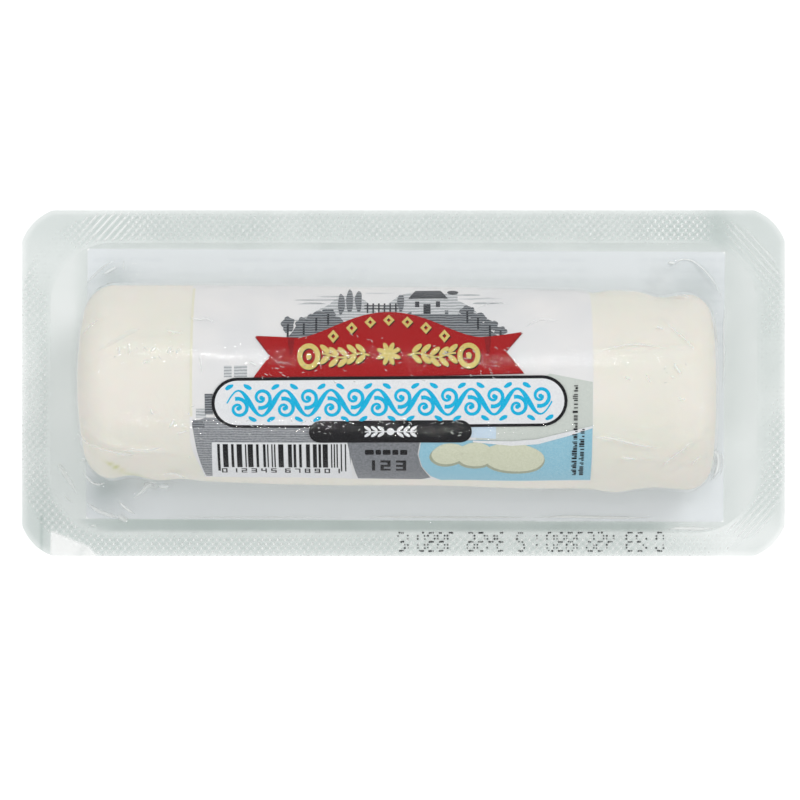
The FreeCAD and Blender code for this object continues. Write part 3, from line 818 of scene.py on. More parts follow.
def make_name_plates():
    """The long white plate with a black line round it and a cyan scroll along it, and the small black plate
    with a white leaf sprig."""
    edge = box_outline(-32.4, -7.0, 27.4, 1.7, 4.3)
    inside = box_outline(-31.87, -6.47, 26.87, 1.17, 3.8)
    small = box_outline(-16.0, -9.85, 11.3, -5.75, 2.0)
    make_print("print_long_plate_edge", [[edge]], BLACK_INK, 8)
    make_print("print_long_plate", [[inside]], WHITE_INK, 9)
    make_print("print_cyan_scroll", scroll_outlines(-29.8, 24.8, -2.65, 7, 2.15, 0.85), CYAN_INK, 10)
    make_print("print_small_plate", [[small]], BLACK_INK, 10)
    sprig = [[oval_outline(-2.3, -7.75, 1.3, 1.3, points=16)], [box_outline(-6.6, -7.85, 2.0, -7.65)]]
    for leaf in range(3):
        for way in (-1, 1):
            for side in (-1, 1):
                sprig.append([oval_outline(-2.3 + side * (1.6 + 1.1 * leaf), -7.75 + way * 0.55, 1.35, 0.55,
                                           way * side * 0.65, 14)])
    make_print("print_white_sprig", sprig, WHITE_INK, 11)


# Which bars make each figure from 0 to 9. The letters stand for the top (a), upper right, lower right, foot,
# lower left, upper left (f) and middle (g).
FIGURES = ("abcdef", "bc", "abged", "abgcd", "fgbc", "afgcd", "afgedc", "abc", "abcdefg", "abcdfg")


def figure_bars(figure, x, y, wide, tall, pen):
    """The outlines of one figure made of up to seven bars, with its lower left corner at (x, y)."""
    half = (tall - pen) / 2
    places = {"a": (0, tall - pen, wide, tall), "g": (0, half, wide, half + pen), "d": (0, 0, wide, pen),
              "f": (0, half, pen, tall), "b": (wide - pen, half, wide, tall),
              "e": (0, 0, pen, half + pen), "c": (wide - pen, 0, wide, half + pen)}
    made = []
    for bar in FIGURES[figure]:
        left, low, right, high = places[bar]
        made.append([box_outline(x + left, y + low, x + right, y + high)])
    return made


def make_bar_code(low):
    """A made-up bar code on its white field: bars from one to four modules wide, and plain figures below."""
    module, left, right = 0.235, -31.6, -9.9
    field = [[(-32.7, low + 0.35), (-32.5, -9.95), (-9.4, -9.95), (-8.7, low + 0.35)]]
    random.seed(11)
    bars = []
    x = left
    while x < right:
        wide = module * random.choice((1, 1, 1, 2, 2, 3, 4))
        foot = -17.3 if x < left + 0.5 or x > right - 0.9 or abs(x - (left + right) / 2) < 0.5 else -16.1
        bars.append([box_outline(x, foot, x + wide * 0.94, -10.3)])
        x += wide + module * random.choice((1, 1, 1, 2, 2, 3))
    for place in range(12):
        gap = 0.6 if place < 6 else 1.3
        bars += figure_bars(place % 10, left + gap + place * 1.68, -17.95, 0.95, 1.45, 0.24)
    make_print("print_bar_field", [field], WHITE_INK, 2)
    make_print("print_bars", bars, BLACK_INK, 3)


def make_lower_fields():
    """The fields along the front edge: silver ground, bar code, a grey field with plain marks, and light blue
    under a pale sweep, with rounds cut from a roll."""
    low = WRAP_FRONT + 0.1
    ground = [(-36.0, -6.2), (-33.6, -5.2), (-27.0, -5.2), (-16.5, -6.6), (-9.0, -8.0), (-9.0, low + 0.6),
              (-33.8, low + 0.6), (-35.2, -12.0)]
    grey = [(-9.6, -9.7), (2.6, -9.8), (2.2, -12.4), (2.8, -15.6), (4.4, low + 0.9), (2.8, low + 0.1),
            (-7.8, low + 0.3)]
    marks = []
    x = -6.6
    for wide in (1.5, 0.9, 1.3, 1.0, 1.2):
        marks.append([box_outline(x, -12.6, x + wide, -11.5, 0.2, 3)])
        x += wide + 0.3
    for place, figure in enumerate((1, 2, 3)):
        marks += figure_bars(figure, -6.6 + 2.6 * place, -16.9, 1.7, 2.9, 0.55)
    panel = [(24.4, 2.0), (31.7, 0.5), (31.7, -7.1), (26.5, -8.9), (20.0, -10.0), (12.0, -9.6), (12.0, -6.6)]
    pale = [(11.2, -6.9), (15.4, -6.9), (15.4, -9.3), (11.2, -9.0)]
    blue = [(2.8, -9.8), (12.9, -9.5), (18.0, -9.9), (21.4, -9.9), (26.4, -8.7), (31.7, -7.0),
            (31.7, low + 0.3), (9.0, low + 0.2), (6.2, low - 0.05), (4.5, low + 1.5), (3.0, -15.6),
            (2.4, -12.6)]
    sweep = [(11.5, -9.7), (18.0, -10.2), (22.4, -9.9), (27.4, -8.5), (31.7, -7.2)]
    rounds, shades = [], []
    for x, y, wide, high, lean in ((7.4, -12.4, 5.8, 4.6, 0.3), (11.9, -12.6, 6.2, 5.4, 0.0),
                                   (18.4, -13.4, 10.6, 6.6, -0.16)):
        shades.append([oval_outline(x - 0.1, y - 0.45, wide + 0.5, high + 0.4, lean, 30, 0.02)])
        rounds.append([oval_outline(x, y, wide, high, lean, 30, 0.02)])
    random.seed(3)
    ticks = []
    for column, top in ((28.2, 0.1), (29.4, -7.6)):
        y = -18.0
        while y < top:
            tall = random.choice((0.14, 0.2, 0.2, 0.34))
            wide = random.choice((0.4, 0.65, 0.65, 0.85))
            ticks.append([box_outline(column + 0.95 - wide, y, column + 0.95, y + tall)])
            y += tall + random.choice((0.15, 0.15, 0.18, 0.45))
    make_print("print_silver_ground", [[ground]], SILVER_INK, 1)
    make_bar_code(low)
    make_print("print_grey_field", [[grey]], GREY_INK, 3)
    make_print("print_plain_marks", marks, BLACK_INK, 4)
    make_print("print_grey_green_panel", [[panel]], GREY_GREEN_INK, 1)
    make_print("print_pale_blue_patch", [[pale]], PALE_BLUE_INK, 2)
    make_print("print_blue_field", [[blue]], BLUE_INK, 4)
    make_print("print_round_shades", shades, SHADE_INK, 5)
    make_print("print_rounds", rounds, CREAM_INK, 6)
    make_print("print_pale_sweep", [[stroke_outline(sweep, [0.3, 0.9, 1.0, 0.8, 0.4])]], WHITE_INK, 7)
    make_print("print_side_ticks", ticks, BLACK_INK, 8)
    make_print("print_straw_edge", [[box_outline(-36.35, -5.0, -35.85, 22.5)]], EDGE_INK, 1)


# ---------------------------------------------------------------- the formed film

CAP_CELLS, RIM_CELLS, SIDE_CELLS, ROUND_CELLS = 16, 12, 186, 92
ALONG_CELLS = 2 * CAP_CELLS + 2 * RIM_CELLS + SIDE_CELLS
WALL_RINGS, FLAT_RINGS = 12, 22
WALL_FOOT = 1.5          # how far out from the log the film's wall meets the flat
WALL_PAINTED_SHADE = 0.05         # how much painted shade darkens the wall, which looks darker seen nearly along it

# Folds of the film over the cheese: from, to, how far each bows aside, its half width and its height
LOG_FOLDS = (
    (-54.0, 9.4, -50.2, 10.9, 0.4, 0.60, 0.16), (-50.5, -10.2, -40.6, -11.2, -0.8, 0.60, 0.34),
    (-54.5, -6.0, -50.0, -10.4, -0.6, 0.60, 0.26), (-49.0, -12.6, -38.8, -12.0, 0.5, 0.60, 0.26),
    (-48.3, 6.2, -38.6, 7.2, 0.5, 0.55, 0.16), (-52.0, 3.0, -44.0, 4.8, 0.6, 0.60, 0.12),
    (-43.4, -4.6, -41.8, -5.4, 0.1, 0.40, 0.18), (-40.6, -6.6, -38.9, -7.4, 0.2, 0.40, 0.20),
    (33.0, 5.6, 48.5, 5.9, -0.3, 0.55, 0.22), (43.6, 10.8, 48.6, 6.2, 0.3, 0.50, 0.26),
    (33.6, 15.5, 47.0, 14.2, 0.5, 0.70, 0.26), (33.0, -9.6, 42.5, -11.2, 0.3, 0.60, 0.32),
    (43.4, -14.6, 50.6, -9.2, 0.3, 0.55, 0.32), (45.0, -15.4, 52.0, -12.4, 0.4, 0.55, 0.26),
    (47.0, -12.0, 51.6, -7.6, 0.2, 0.50, 0.22), (36.0, -13.2, 45.5, -13.6, 0.6, 0.65, 0.24),
    (36.5, -8.2, 46.8, -6.8, -0.3, 0.55, 0.14), (52.3, 4.0, 53.0, 13.5, -0.6, 0.60, 0.22),
    (42.0, 9.2, 44.5, 9.0, 0.1, 0.40, 0.16), (-55.2, -2.0, -54.6, 8.0, 0.4, 0.55, 0.16),
)

# Ears where the pocket's corners have fallen in: middle, half width along and across, turn, height
EARS = (
    (49.4, 15.2, 6.7, 6.7, 0, 3.4),
    (-49.6, 12.6, 9.0, 9.0, 0, 2.6),
    (-50.2, -14.4, 10.0, 9.6, 20, 1.9),
    (-54.4, -14.2, 3.3, 3.7, 0, 4.6),
    (-46.8, -17.6, 3.4, 5.6, 25, 3.6),
    (50.0, -13.2, 5.8, 6.3, 0, 3.6),
)

# Folds of the flat film: from, to, bow, half width and height
FLAT_FOLDS = (
    (48.0, 20.4, 56.2, 16.4, 2.0, 0.28, 0.5), (47.6, 19.2, 48.6, 20.8, 0.0, 0.35, 0.4),
    (-49.4, 21.9, -49.3, 19.8, 0.1, 0.30, 0.5), (-50.6, 19.0, -49.8, 17.5, 0.1, 0.35, 0.6),
    (-53.4, 19.6, -51.2, 21.0, 0.2, 0.35, 0.5), (-53.0, 17.2, -46.2, 17.0, 1.0, 0.45, 0.5),
    (-46.2, 21.4, -46.0, 19.4, 0.1, 0.35, 0.3), (-49.0, 20.0, -43.0, 17.0, 0.6, 0.5, 0.5),
    (-61.0, -14.1, -48.8, -24.6, -2.4, 0.45, 0.45), (-59.8, -15.4, -56.0, -20.8, 0.2, 0.30, 0.3),
    (-56.8, -14.0, -54.8, -15.6, -0.3, 0.35, 0.3), (-55.6, -17.4, -52.4, -17.6, -0.4, 0.30, 0.5),
    (-51.0, -19.6, -48.0, -22.0, -0.4, 0.30, 0.5), (-48.6, -20.4, -44.8, -17.2, -0.3, 0.45, 0.9),
    (-44.4, -19.0, -42.2, -18.9, 0.0, 0.42, 0.3), (-58.4, -26.0, -55.6, -25.0, 0.0, 0.35, 0.2),
    (54.6, -11.0, 53.4, -17.4, 0.8, 0.55, 0.9), (55.6, -12.0, 54.6, -17.0, 0.5, 0.35, 0.5),
    (53.0, -17.6, 49.6, -19.2, -0.6, 0.35, 0.4),
    (56.9, 1.5, 56.9, 15.0, 0.3, 0.4, 0.4), (-45.0, -24.3, 45.0, -24.2, 0.0, 0.35, 0.25),
    (-10.0, -23.6, 26.0, -24.0, -0.3, 0.3, 0.3), (47.0, -25.2, 57.0, -25.0, 0.2, 0.4, 0.3),
)

# Where the flat film carries painted highlights and a painted glow, and where it is murkier, from the doubled
# film of the ears and from painted shade at the front of the left end: middle, reach along and across, how
# much
PAINTED_HIGHLIGHT_PLACES = ((44.9, 18.9, 2.2, 3.0, 0.2), (54.5, -14.0, 1.2, 2.4, 0.35), (51.5, 17.0, 4.6, 4.0, 0.05),
                (-44.6, -17.9, 1.5, 0.8, 0.4), (-49.5, -16.8, 3.5, 3.0, 0.1), (52.5, -20.5, 4.0, 2.4, 0.12))
MURKY_AND_SHADED_PLACES = ((51.5, 17.0, 4.6, 4.0, 0.2), (-51.0, 17.5, 3.2, 3.2, 0.25), (-53.0, -19.0, 3.0, 3.0, 0.35),
                (-49.5, -16.8, 3.5, 3.0, 0.2))


def patch_sum(patches, x, y):
    """What a list of soft patches (middle, reach along and across, amount) adds up to at (x, y)."""
    total = 0.0
    for middle_x, middle_y, reach_x, reach_y, amount in patches:
        total += amount * math.exp(-((x - middle_x) / reach_x) ** 2 - ((y - middle_y) / reach_y) ** 2)
    return total


def fold_height(folds, x, y):
    """The height of whichever folds pass under (x, y)."""
    height = 0.0
    for x0, y0, x1, y1, bow, half_width, high in folds:
        run_x, run_y = x1 - x0, y1 - y0
        length = math.hypot(run_x, run_y)
        share = ((x - x0) * run_x + (y - y0) * run_y) / length ** 2
        if -0.1 < share < 1.1:
            off = ((y - y0) * run_x - (x - x0) * run_y) / length - bow * 4 * share * (1 - share)
            if abs(off) < 4 * half_width:
                ends = smooth(-0.08, 0.15, share) * smooth(1.08, 0.85, share)
                height += high * ends * math.exp(-(off / half_width) ** 2)
    return height


def ear_height(x, y):
    """The height of the fallen-in pocket corners at (x, y): low cushions with a sharp rim."""
    height = 0.0
    for middle_x, middle_y, half_x, half_y, turn, high in EARS:
        lean = math.radians(turn)
        a = (x - middle_x) * math.cos(lean) + (y - middle_y) * math.sin(lean)
        b = (y - middle_y) * math.cos(lean) - (x - middle_x) * math.sin(lean)
        out = math.hypot(a / half_x, b / half_y)
        if out < 1:
            cushion = high * smooth(1.0, 0.72, out) * (1 - 0.25 * out * out)
            height = soft_max(cushion, height, 0.5) if height else cushion
    return height


def over_log(u, v):
    """The film's way over a true log: up one end, along it and down the other (u), from back to front (v)."""
    middle = ALONG_CELLS / 2
    step = u * ALONG_CELLS - middle
    side = -1 if step < 0 else 1
    away = abs(step)
    turn = math.pi * v
    radius, half, rim, tall = LOG_RADIUS + FILM_LIFT, LOG_HALF + FILM_LIFT, LOG_RIM + FILM_LIFT, 1.0
    if away <= SIDE_CELLS / 2:
        x = (half - rim) * away / (SIDE_CELLS / 2)
    elif away <= SIDE_CELLS / 2 + RIM_CELLS:
        bend = (away - SIDE_CELLS / 2) / RIM_CELLS * math.pi / 2
        x = half - rim + rim * math.sin(bend)
        radius -= rim * (1 - math.cos(bend))
    else:
        x = half
        radius -= rim
        tall = 1 - (away - SIDE_CELLS / 2 - RIM_CELLS) / CAP_CELLS
    return side * x, radius * math.cos(turn), radius * math.sin(turn) * tall


def band_inside(quarter, share):
    """A point of the welded band's inner outline: a share of the way round one quarter of it. The quarters
    run from the middle of the back to the right, the front, the left and the back again."""
    straight_x, straight_y = BAND_HALF.x - BAND_CORNER, BAND_HALF.y - BAND_CORNER
    arc = BAND_CORNER * math.pi / 2
    gone = share * (straight_x + arc + straight_y)
    if quarter % 2:
        gone = straight_x + arc + straight_y - gone
    if gone <= straight_x:
        x, y = gone, BAND_HALF.y
    elif gone <= straight_x + arc:
        angle = (gone - straight_x) / BAND_CORNER
        x, y = straight_x + BAND_CORNER * math.sin(angle), straight_y + BAND_CORNER * math.cos(angle)
    else:
        x, y = BAND_HALF.x, straight_y - (gone - straight_x - arc)
    x *= -1 if quarter in (2, 3) else 1
    y *= -1 if quarter in (1, 2) else 1
    return Vector((BAND_MIDDLE.x + x, BAND_MIDDLE.y + y))


def waistline():
    """The loop round the log at half its height, with where each point's line runs out to on the band."""
    half_side = SIDE_CELLS // 2 + RIM_CELLS
    half_end = ROUND_CELLS // 2
    low, high = CAP_CELLS / ALONG_CELLS, 1 - CAP_CELLS / ALONG_CELLS
    loop = []
    for step in range(half_side, 2 * half_side):
        loop.append((low + (high - low) * step / (2 * half_side), 0.0))
    for step in range(2 * half_end):
        loop.append((1.0, step / (2 * half_end)))
    for step in range(2 * half_side):
        loop.append((high - (high - low) * step / (2 * half_side), 1.0))
    for step in range(2 * half_end):
        loop.append((0.0, 1 - step / (2 * half_end)))
    for step in range(half_side + 1):
        loop.append((low + (high - low) * step / (2 * half_side), 0.0))
    starts = [Vector(log_place(*over_log(u, v))) for u, v in loop]
    turns = [quarter * (half_side + half_end) for quarter in range(5)]
    ends = []
    for quarter in range(4):
        first, last = turns[quarter], turns[quarter + 1]
        gone = [0.0]
        for place in range(first, last):
            gone.append(gone[-1] + (starts[place + 1] - starts[place]).length)
        for place in range(first, last):
            by_length = gone[place - first] / gone[-1]
            by_count = (place - first) / (last - first)
            ends.append(band_inside(quarter, 0.5 * by_length + 0.5 * by_count))
    ends.append(ends[0])
    return starts, ends


def make_formed_film():
    """The film drawn down over the log: skin-tight on top, straight down at its sides, with fallen-in
    corners, and flat out to the welded band."""
    top = begin_grid("formed_film_top", ALONG_CELLS, ROUND_CELLS)

    def place_top(x, y, z):
        real = Vector(log_place(*over_log(grid_share(x), grid_share(y))))
        out = Vector((0, real.y - LOG_MIDDLE.y, real.z - LOG_MIDDLE.z)).normalized()
        ripple = 0.05 * noise.noise(Vector((real.x / 3.1, real.y / 2.2, real.z / 2.2)))
        return real + out * (log_fold(*real) + ripple * smooth(LOG_MIDDLE.z, LOG_MIDDLE.z + 3, real.z))

    move_points(top, place_top)
    starts, ends = waistline()
    rings = WALL_RINGS + FLAT_RINGS
    skirt = begin_grid("formed_film_skirt", len(starts) - 1, rings)

    def place_skirt(x, y, z):
        spoke = round(grid_share(x) * (len(starts) - 1))
        start, end = starts[spoke], ends[spoke]
        ring = round(grid_share(y) * rings)
        flat = Vector((start.x, start.y))
        reach = (end - flat).length
        if ring <= WALL_RINGS:
            bend = ring / WALL_RINGS * math.pi / 2
            gone = WALL_FOOT * (1 - math.cos(bend))
            height = FLAT_TOP + (start.z - FLAT_TOP) * (1 - math.sin(bend))
        else:
            gone = WALL_FOOT + (reach - WALL_FOOT) * (ring - WALL_RINGS) / FLAT_RINGS
            height = FLAT_TOP
        here = flat + (end - flat) * (gone / reach)
        if ring > 0:
            settle = smooth(reach, reach - 1.5, gone)
            loose = ear_height(here.x, here.y) + fold_height(FLAT_FOLDS, here.x, here.y)
            loose += 0.10 * (0.5 + noise.noise(Vector((here.x / 7.0, here.y / 5.0, 1.0))))
            if loose * settle > 0.01:
                height = soft_max(height, FLAT_TOP + loose * settle, 0.8 * settle + 0.001)
        return here.x, here.y, height

    rings_out = [(point.co.y + 1) / 2 * rings for point in skirt.data.vertices]
    move_points(skirt, place_skirt)
    mark_points(skirt, "painted_highlight", lambda x, y, z: patch_sum(PAINTED_HIGHLIGHT_PLACES, x, y))
    mark_points(skirt, "murk_and_shade", lambda x, y, z: patch_sum(MURKY_AND_SHADED_PLACES, x, y))
    # Painted shade on the wall, from just below the log's waist out onto the first rings of the flat
    for ring, mark in zip(rings_out, skirt.data.attributes["murk_and_shade"].data):
        mark.value += WALL_PAINTED_SHADE * smooth(0, 4, ring) * smooth(WALL_RINGS + 5, WALL_RINGS + 1, ring)
    # Painted highlights along the folds of the film over the log
    mark_points(top, "painted_highlight", lambda x, y, z: 0.3 * log_fold(x, y, z))
    mark_points(top, "murk_and_shade", lambda x, y, z: 0.0)
    film = join("formed_film_pocket", [top, skirt])
    select_all_of(film)
    bpy.ops.mesh.remove_doubles(threshold=0.004 * MM)
    bpy.ops.mesh.normals_make_consistent(inside=False)
    close_edit()
    highest = max(film.data.polygons, key=lambda face: face.center.z)
    if highest.normal.z < 0:
        select_all_of(film)
        bpy.ops.mesh.flip_normals()
        close_edit()
    thicken(film, FILM_THICK)
    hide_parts("formed_film")
    return finish(film, "formed_clear_film", FORMED_FILM, smooth_angle=80)


# Sharp creases of the film, with painted highlights along them: half width, how bright the painted highlight
# is, and the points that each runs through
CREASES = (
    (0.30, 1.0, (-56.4, -15.2), (-55.8, -16.6), (-54.9, -17.6), (-53.6, -17.9), (-52.4, -17.5)),
    (0.32, 1.0, (-50.2, -20.8), (-49.6, -21.6), (-48.7, -22.4), (-47.5, -23.1)),
    (0.36, 0.9, (-47.7, -20.4), (-46.1, -19.2), (-45.0, -18.1), (-43.4, -17.1)),
    (0.42, 1.0, (-43.3, -18.3), (-42.2, -18.35), (-41.2, -18.1)),
    (0.50, 0.5, (-61.2, -14.2), (-60.5, -15.1), (-59.3, -17.0), (-57.6, -19.6)),
    (0.44, 0.75, (-56.0, -21.0), (-54.3, -22.4), (-52.2, -23.3), (-50.2, -23.8)),
    (0.60, 0.7, (-50.6, -23.5), (-49.6, -24.0), (-48.8, -24.6)),
    (0.30, 0.3, (-60.1, -19.5), (-59.4, -20.6), (-58.4, -21.2)),
    (0.25, 0.8, (-55.4, -25.3), (-54.9, -25.2), (-54.4, -25.3)),
    (0.20, 0.7, (-56.9, -13.7), (-55.9, -13.4), (-55.0, -13.7)),
    (0.22, 0.75, (-42.6, -4.3), (-42.5, -4.9), (-42.2, -5.5)),
    (0.26, 0.85, (-38.8, -6.3), (-39.1, -7.0), (-39.6, -7.7)),
    (0.20, 0.7, (-38.3, -8.6), (-37.4, -8.5), (-36.6, -8.1)),
    (0.22, 0.55, (-52.6, -10.8), (-50.2, -11.6), (-48.3, -12.0), (-46.6, -12.4), (-45.6, -12.3)),
    (0.20, 0.45, (-48.2, -12.0), (-46.0, -11.5), (-43.0, -11.5), (-40.8, -10.9)),
    (0.24, 0.3, (-55.4, -8.0), (-54.6, -9.5), (-53.0, -10.7), (-51.5, -11.0)),
    (0.24, 0.6, (-41.2, -15.7), (-39.6, -15.6), (-38.4, -15.9), (-37.2, -16.5)),
    (0.34, 0.45, (-48.1, 6.0), (-47.9, 5.3), (-47.8, 4.7)),
    (0.30, 0.35, (-46.4, 6.6), (-46.3, 5.6), (-46.2, 4.6)),
    (0.30, 0.35, (-43.9, 6.0), (-43.5, 5.6), (-42.9, 5.3)),
    (0.34, 0.50, (-42.7, 5.0), (-42.3, 5.5), (-41.8, 6.0)),
    (0.32, 0.50, (-39.8, 4.7), (-39.5, 5.4), (-39.0, 6.0)),
    (0.30, 0.45, (-38.4, 4.8), (-38.1, 5.3), (-37.8, 5.8)),
    (0.32, 0.45, (-44.1, 3.3), (-43.4, 3.5), (-42.7, 3.5)),
    (0.22, 0.45, (-54.3, 8.3), (-53.3, 9.5), (-51.6, 10.6)),
    (0.45, 0.2, (-51.5, 5.3), (-49.1, 6.8), (-46.1, 8.5), (-44.6, 9.0)),
    (0.20, 0.45, (-40.2, 8.9), (-38.6, 8.4), (-37.4, 8.6)),
    (0.40, 0.7, (-53.1, 19.2), (-51.8, 19.9), (-50.6, 20.6)),
    (0.30, 0.35, (-56.2, 16.6), (-55.2, 18.5), (-53.1, 20.5), (-50.8, 21.8)),
    (0.24, 0.5, (-54.5, 16.3), (-52.4, 17.1), (-49.4, 17.2)),
    (0.16, 0.35, (-49.4, 21.8), (-49.5, 20.8), (-49.3, 19.8)),
    (0.17, 0.95, (46.9, 20.5), (48.0, 21.2), (49.5, 21.9), (51.3, 21.5), (52.7, 20.4), (54.1, 18.9),
     (55.3, 17.1), (56.3, 15.1)),
    (0.36, 0.9, (46.7, 21.2), (47.4, 21.3), (48.1, 21.0)),
    (0.18, 0.7, (46.8, 14.9), (47.8, 14.9), (48.9, 14.6)),
    (0.24, 0.8, (42.7, 9.4), (43.3, 9.3), (43.9, 9.0)),
    (0.18, 0.45, (44.6, 10.0), (46.7, 8.1), (48.3, 6.5), (49.1, 5.4)),
    (0.20, 0.5, (33.4, 5.3), (37.4, 6.3), (40.1, 6.4), (43.6, 5.9)),
    (0.30, 0.6, (45.5, 3.2), (46.1, 2.3), (46.8, 1.2)),
    (0.22, 0.45, (40.8, 1.3), (41.2, 0.6), (41.6, -0.2)),
    (0.20, 0.4, (37.0, 1.0), (37.7, 0.7), (38.3, 0.2)),
    (0.20, 0.4, (46.1, -2.5), (46.8, -2.9), (47.5, -2.9)),
    (0.24, 0.3, (52.4, 13.0), (53.3, 10.4), (53.7, 8.3), (53.6, 6.0)),
    (0.24, 0.6, (32.0, -9.2), (35.6, -9.6), (39.1, -10.5), (42.8, -11.1)),
    (0.26, 0.8, (37.0, -12.7), (38.2, -12.9), (39.3, -13.0)),
    (0.22, 0.5, (44.0, -14.0), (45.8, -12.5), (48.8, -10.1)),
    (0.22, 0.5, (48.8, -14.0), (49.5, -13.2), (50.2, -12.5)),
    (0.26, 0.7, (50.1, -19.1), (51.9, -18.4), (52.9, -17.0)),
    (0.55, 1.0, (53.7, -12.8), (55.0, -12.2), (55.7, -13.6), (55.4, -15.6), (54.5, -17.2)),
    (0.18, 0.5, (56.2, -12.2), (56.5, -14.2), (56.0, -16.4)),
    (0.16, 0.3, (-44.0, -23.7), (-32.0, -23.75), (-20.0, -23.7), (-9.0, -23.75)),
    (0.20, 0.65, (-9.0, -23.75), (2.0, -23.7), (13.0, -23.75), (24.0, -23.75)),
    (0.28, 1.0, (23.0, -23.75), (30.0, -23.65), (37.0, -23.8), (44.0, -23.8)),
    (0.40, 0.85, (46.4, -25.85), (49.0, -25.7), (52.0, -25.8), (55.2, -25.75)),
    (0.18, 0.45, (56.9, 15.0), (56.6, 9.0), (56.7, 4.0), (56.3, -1.5)),
    (0.22, 0.6, (-36.2, 10.9), (-34.8, 10.6), (-33.4, 10.8), (-31.9, 10.0)),
    (0.26, 0.8, (-26.1, 3.3), (-25.4, 3.2), (-24.7, 2.7)),
    (0.18, 0.4, (-34.4, 4.6), (-34.2, 3.0), (-33.9, 1.2)),
    (0.16, 0.35, (12.6, 12.6), (15.0, 13.6), (17.8, 13.2)),
    (0.16, 0.35, (20.4, 9.2), (23.0, 10.6), (26.4, 10.4)),
)
# Where small puckers with painted glints crowd together: middle, reach along and across, how many
PUCKERED = ((-21.8, 1.9, 2.6, 1.5, 16), (12.6, 3.4, 6.0, 2.6, 30), (-2.0, -7.6, 12.0, 1.4, 34),
            (-20.0, -7.6, 9.0, 1.2, 26), (-4.0, 4.0, 14.0, 4.0, 30), (-35.0, -10.0, 1.6, 6.0, 8),
            (-43.0, 5.0, 6.5, 1.0, 5), (46.0, 1.6, 3.0, 2.6, 5))


def along_line(points, share):
    """The place a share of the way along a smooth line through the points."""
    last = len(points) - 1
    step = min(int(share * last), last - 1)
    part = share * last - step
    a, b, c, d = (Vector(points[min(max(step + offset, 0), last)]) for offset in (-1, 0, 1, 2))
    bend = 2 * a - 5 * b + 4 * c - d
    return (2 * b + (c - a) * part + bend * part ** 2 + (3 * b - a - 3 * c + d) * part ** 3) / 2


def make_crease(film, half_width, white, points):
    """One crease: a low ridge with soft edges and pointed ends, laid on the film."""
    steps = 5 * (len(points) - 1)
    ridge = begin_grid("film_crease", steps, 4)

    def taper(share):
        return smooth(0.0, 0.3, share) * smooth(1.0, 0.7, share)

    # Painted highlight, brightest along the middle of the crease
    def whiteness(x, y, z):
        return white * (1 - abs(y * MM)) ** 0.7 * (0.3 + 0.7 * taper(grid_share(x)))

    def place(x, y, z):
        share = grid_share(x)
        run = along_line(points, min(share + 0.01, 1)) - along_line(points, max(share - 0.01, 0))
        across = Vector((-run.y, run.x)).normalized()
        wide = half_width * (0.15 + 0.85 * taper(share))
        flat = along_line(points, share) + across * (y * MM) * wide
        hit, where, *_ = film.ray_cast((flat.x * MM, flat.y * MM, 0.1), (0, 0, -1))
        ridge_height = 0.4 * wide * (1 - (y * MM) ** 2)
        return flat.x, flat.y, (where.z / MM if hit else FLAT_TOP) + 0.03 + ridge_height

    mark_points(ridge, "painted_highlight", whiteness)
    move_points(ridge, place)
    thicken(ridge, THIN)
    return ridge


def make_creases(film):
    """The film's long creases, and the small puckers that crowd where it shrank onto the label, each carrying
    a painted highlight.
    """
    bpy.context.view_layer.update()
    ridges = [make_crease(film, half_width, white, points) for half_width, white, *points in CREASES]
    random.seed(23)
    for middle_x, middle_y, reach_x, reach_y, count in PUCKERED:
        for _ in range(count):
            x = middle_x + reach_x * random.uniform(-1, 1)
            y = middle_y + reach_y * random.uniform(-1, 1)
            turn, long, bow = random.uniform(-1.2, 0.6), random.uniform(0.3, 0.9), random.uniform(-0.3, 0.3)
            run = Vector((math.cos(turn), math.sin(turn))) * long / 2
            side = Vector((-run.y, run.x)) * bow * 2
            middle = Vector((x, y))
            ridges.append(make_crease(film, random.uniform(0.06, 0.12), random.uniform(0.25, 0.8),
                                      (middle - run, middle + side, middle + run)))
    creases = join("formed_film_creases", ridges)
    return finish(creases, "formed_clear_film", FORMED_FILM, smooth_angle=80)


# ---------------------------------------------------------------- the welded band and the base film

KNURL_ALONG, KNURL_ACROSS = 1.35, 1.5    # the knurl's repeat; its points stand in staggered rows
KNURL_HEIGHT = 0.08
# Where the knurl is deeper, or with a minus nearly gone: middle, reach along and across, how much
# The depth also sets how strong the band's painted highlights and painted furrow shade are
KNURL_PLACES = (
    (-51.5, 27.6, 5.0, 4.0, 1.3), (48.5, 27.4, 5.0, 3.5, 1.1), (-67.0, 20.0, 1.2, 5.0, 1.6),
    (-62.0, 21.0, 5.5, 6.5, -0.9), (-33.0, -28.6, 22.0, 3.0, 0.5), (66.0, -13.5, 1.2, 5.5, 1.2),
    (61.0, 20.0, 4.5, 7.0, -0.3), (64.5, 4.0, 4.0, 13.0, -0.75), (64.0, -10.0, 2.0, 8.0, -0.45),
    (55.5, 26.5, 2.2, 5.0, -0.8), (0.0, 29.6, 38.0, 1.2, -0.35), (30.0, -28.6, 20.0, 3.0, 0.3),
    (-60.0, -23.5, 4.0, 4.0, 0.6), (-64.5, -8.0, 3.0, 8.0, 0.2), (55.0, -29.0, 8.0, 3.0, -0.75),
)
# Where only one set of the knurl's diagonals has pressed through: middle, reach, and which way it leans
KNURL_STREAKS = ((-52.5, 27.6, 3.6, -1), (61.8, 23.5, 6.0, 1), (62.0, -26.6, 5.0, -1))
WELD_MIDDLE = Vector((0.0, -0.45))
WELD_HALF = Vector((67.7, 30.55))
WELD_CORNER = 16.0
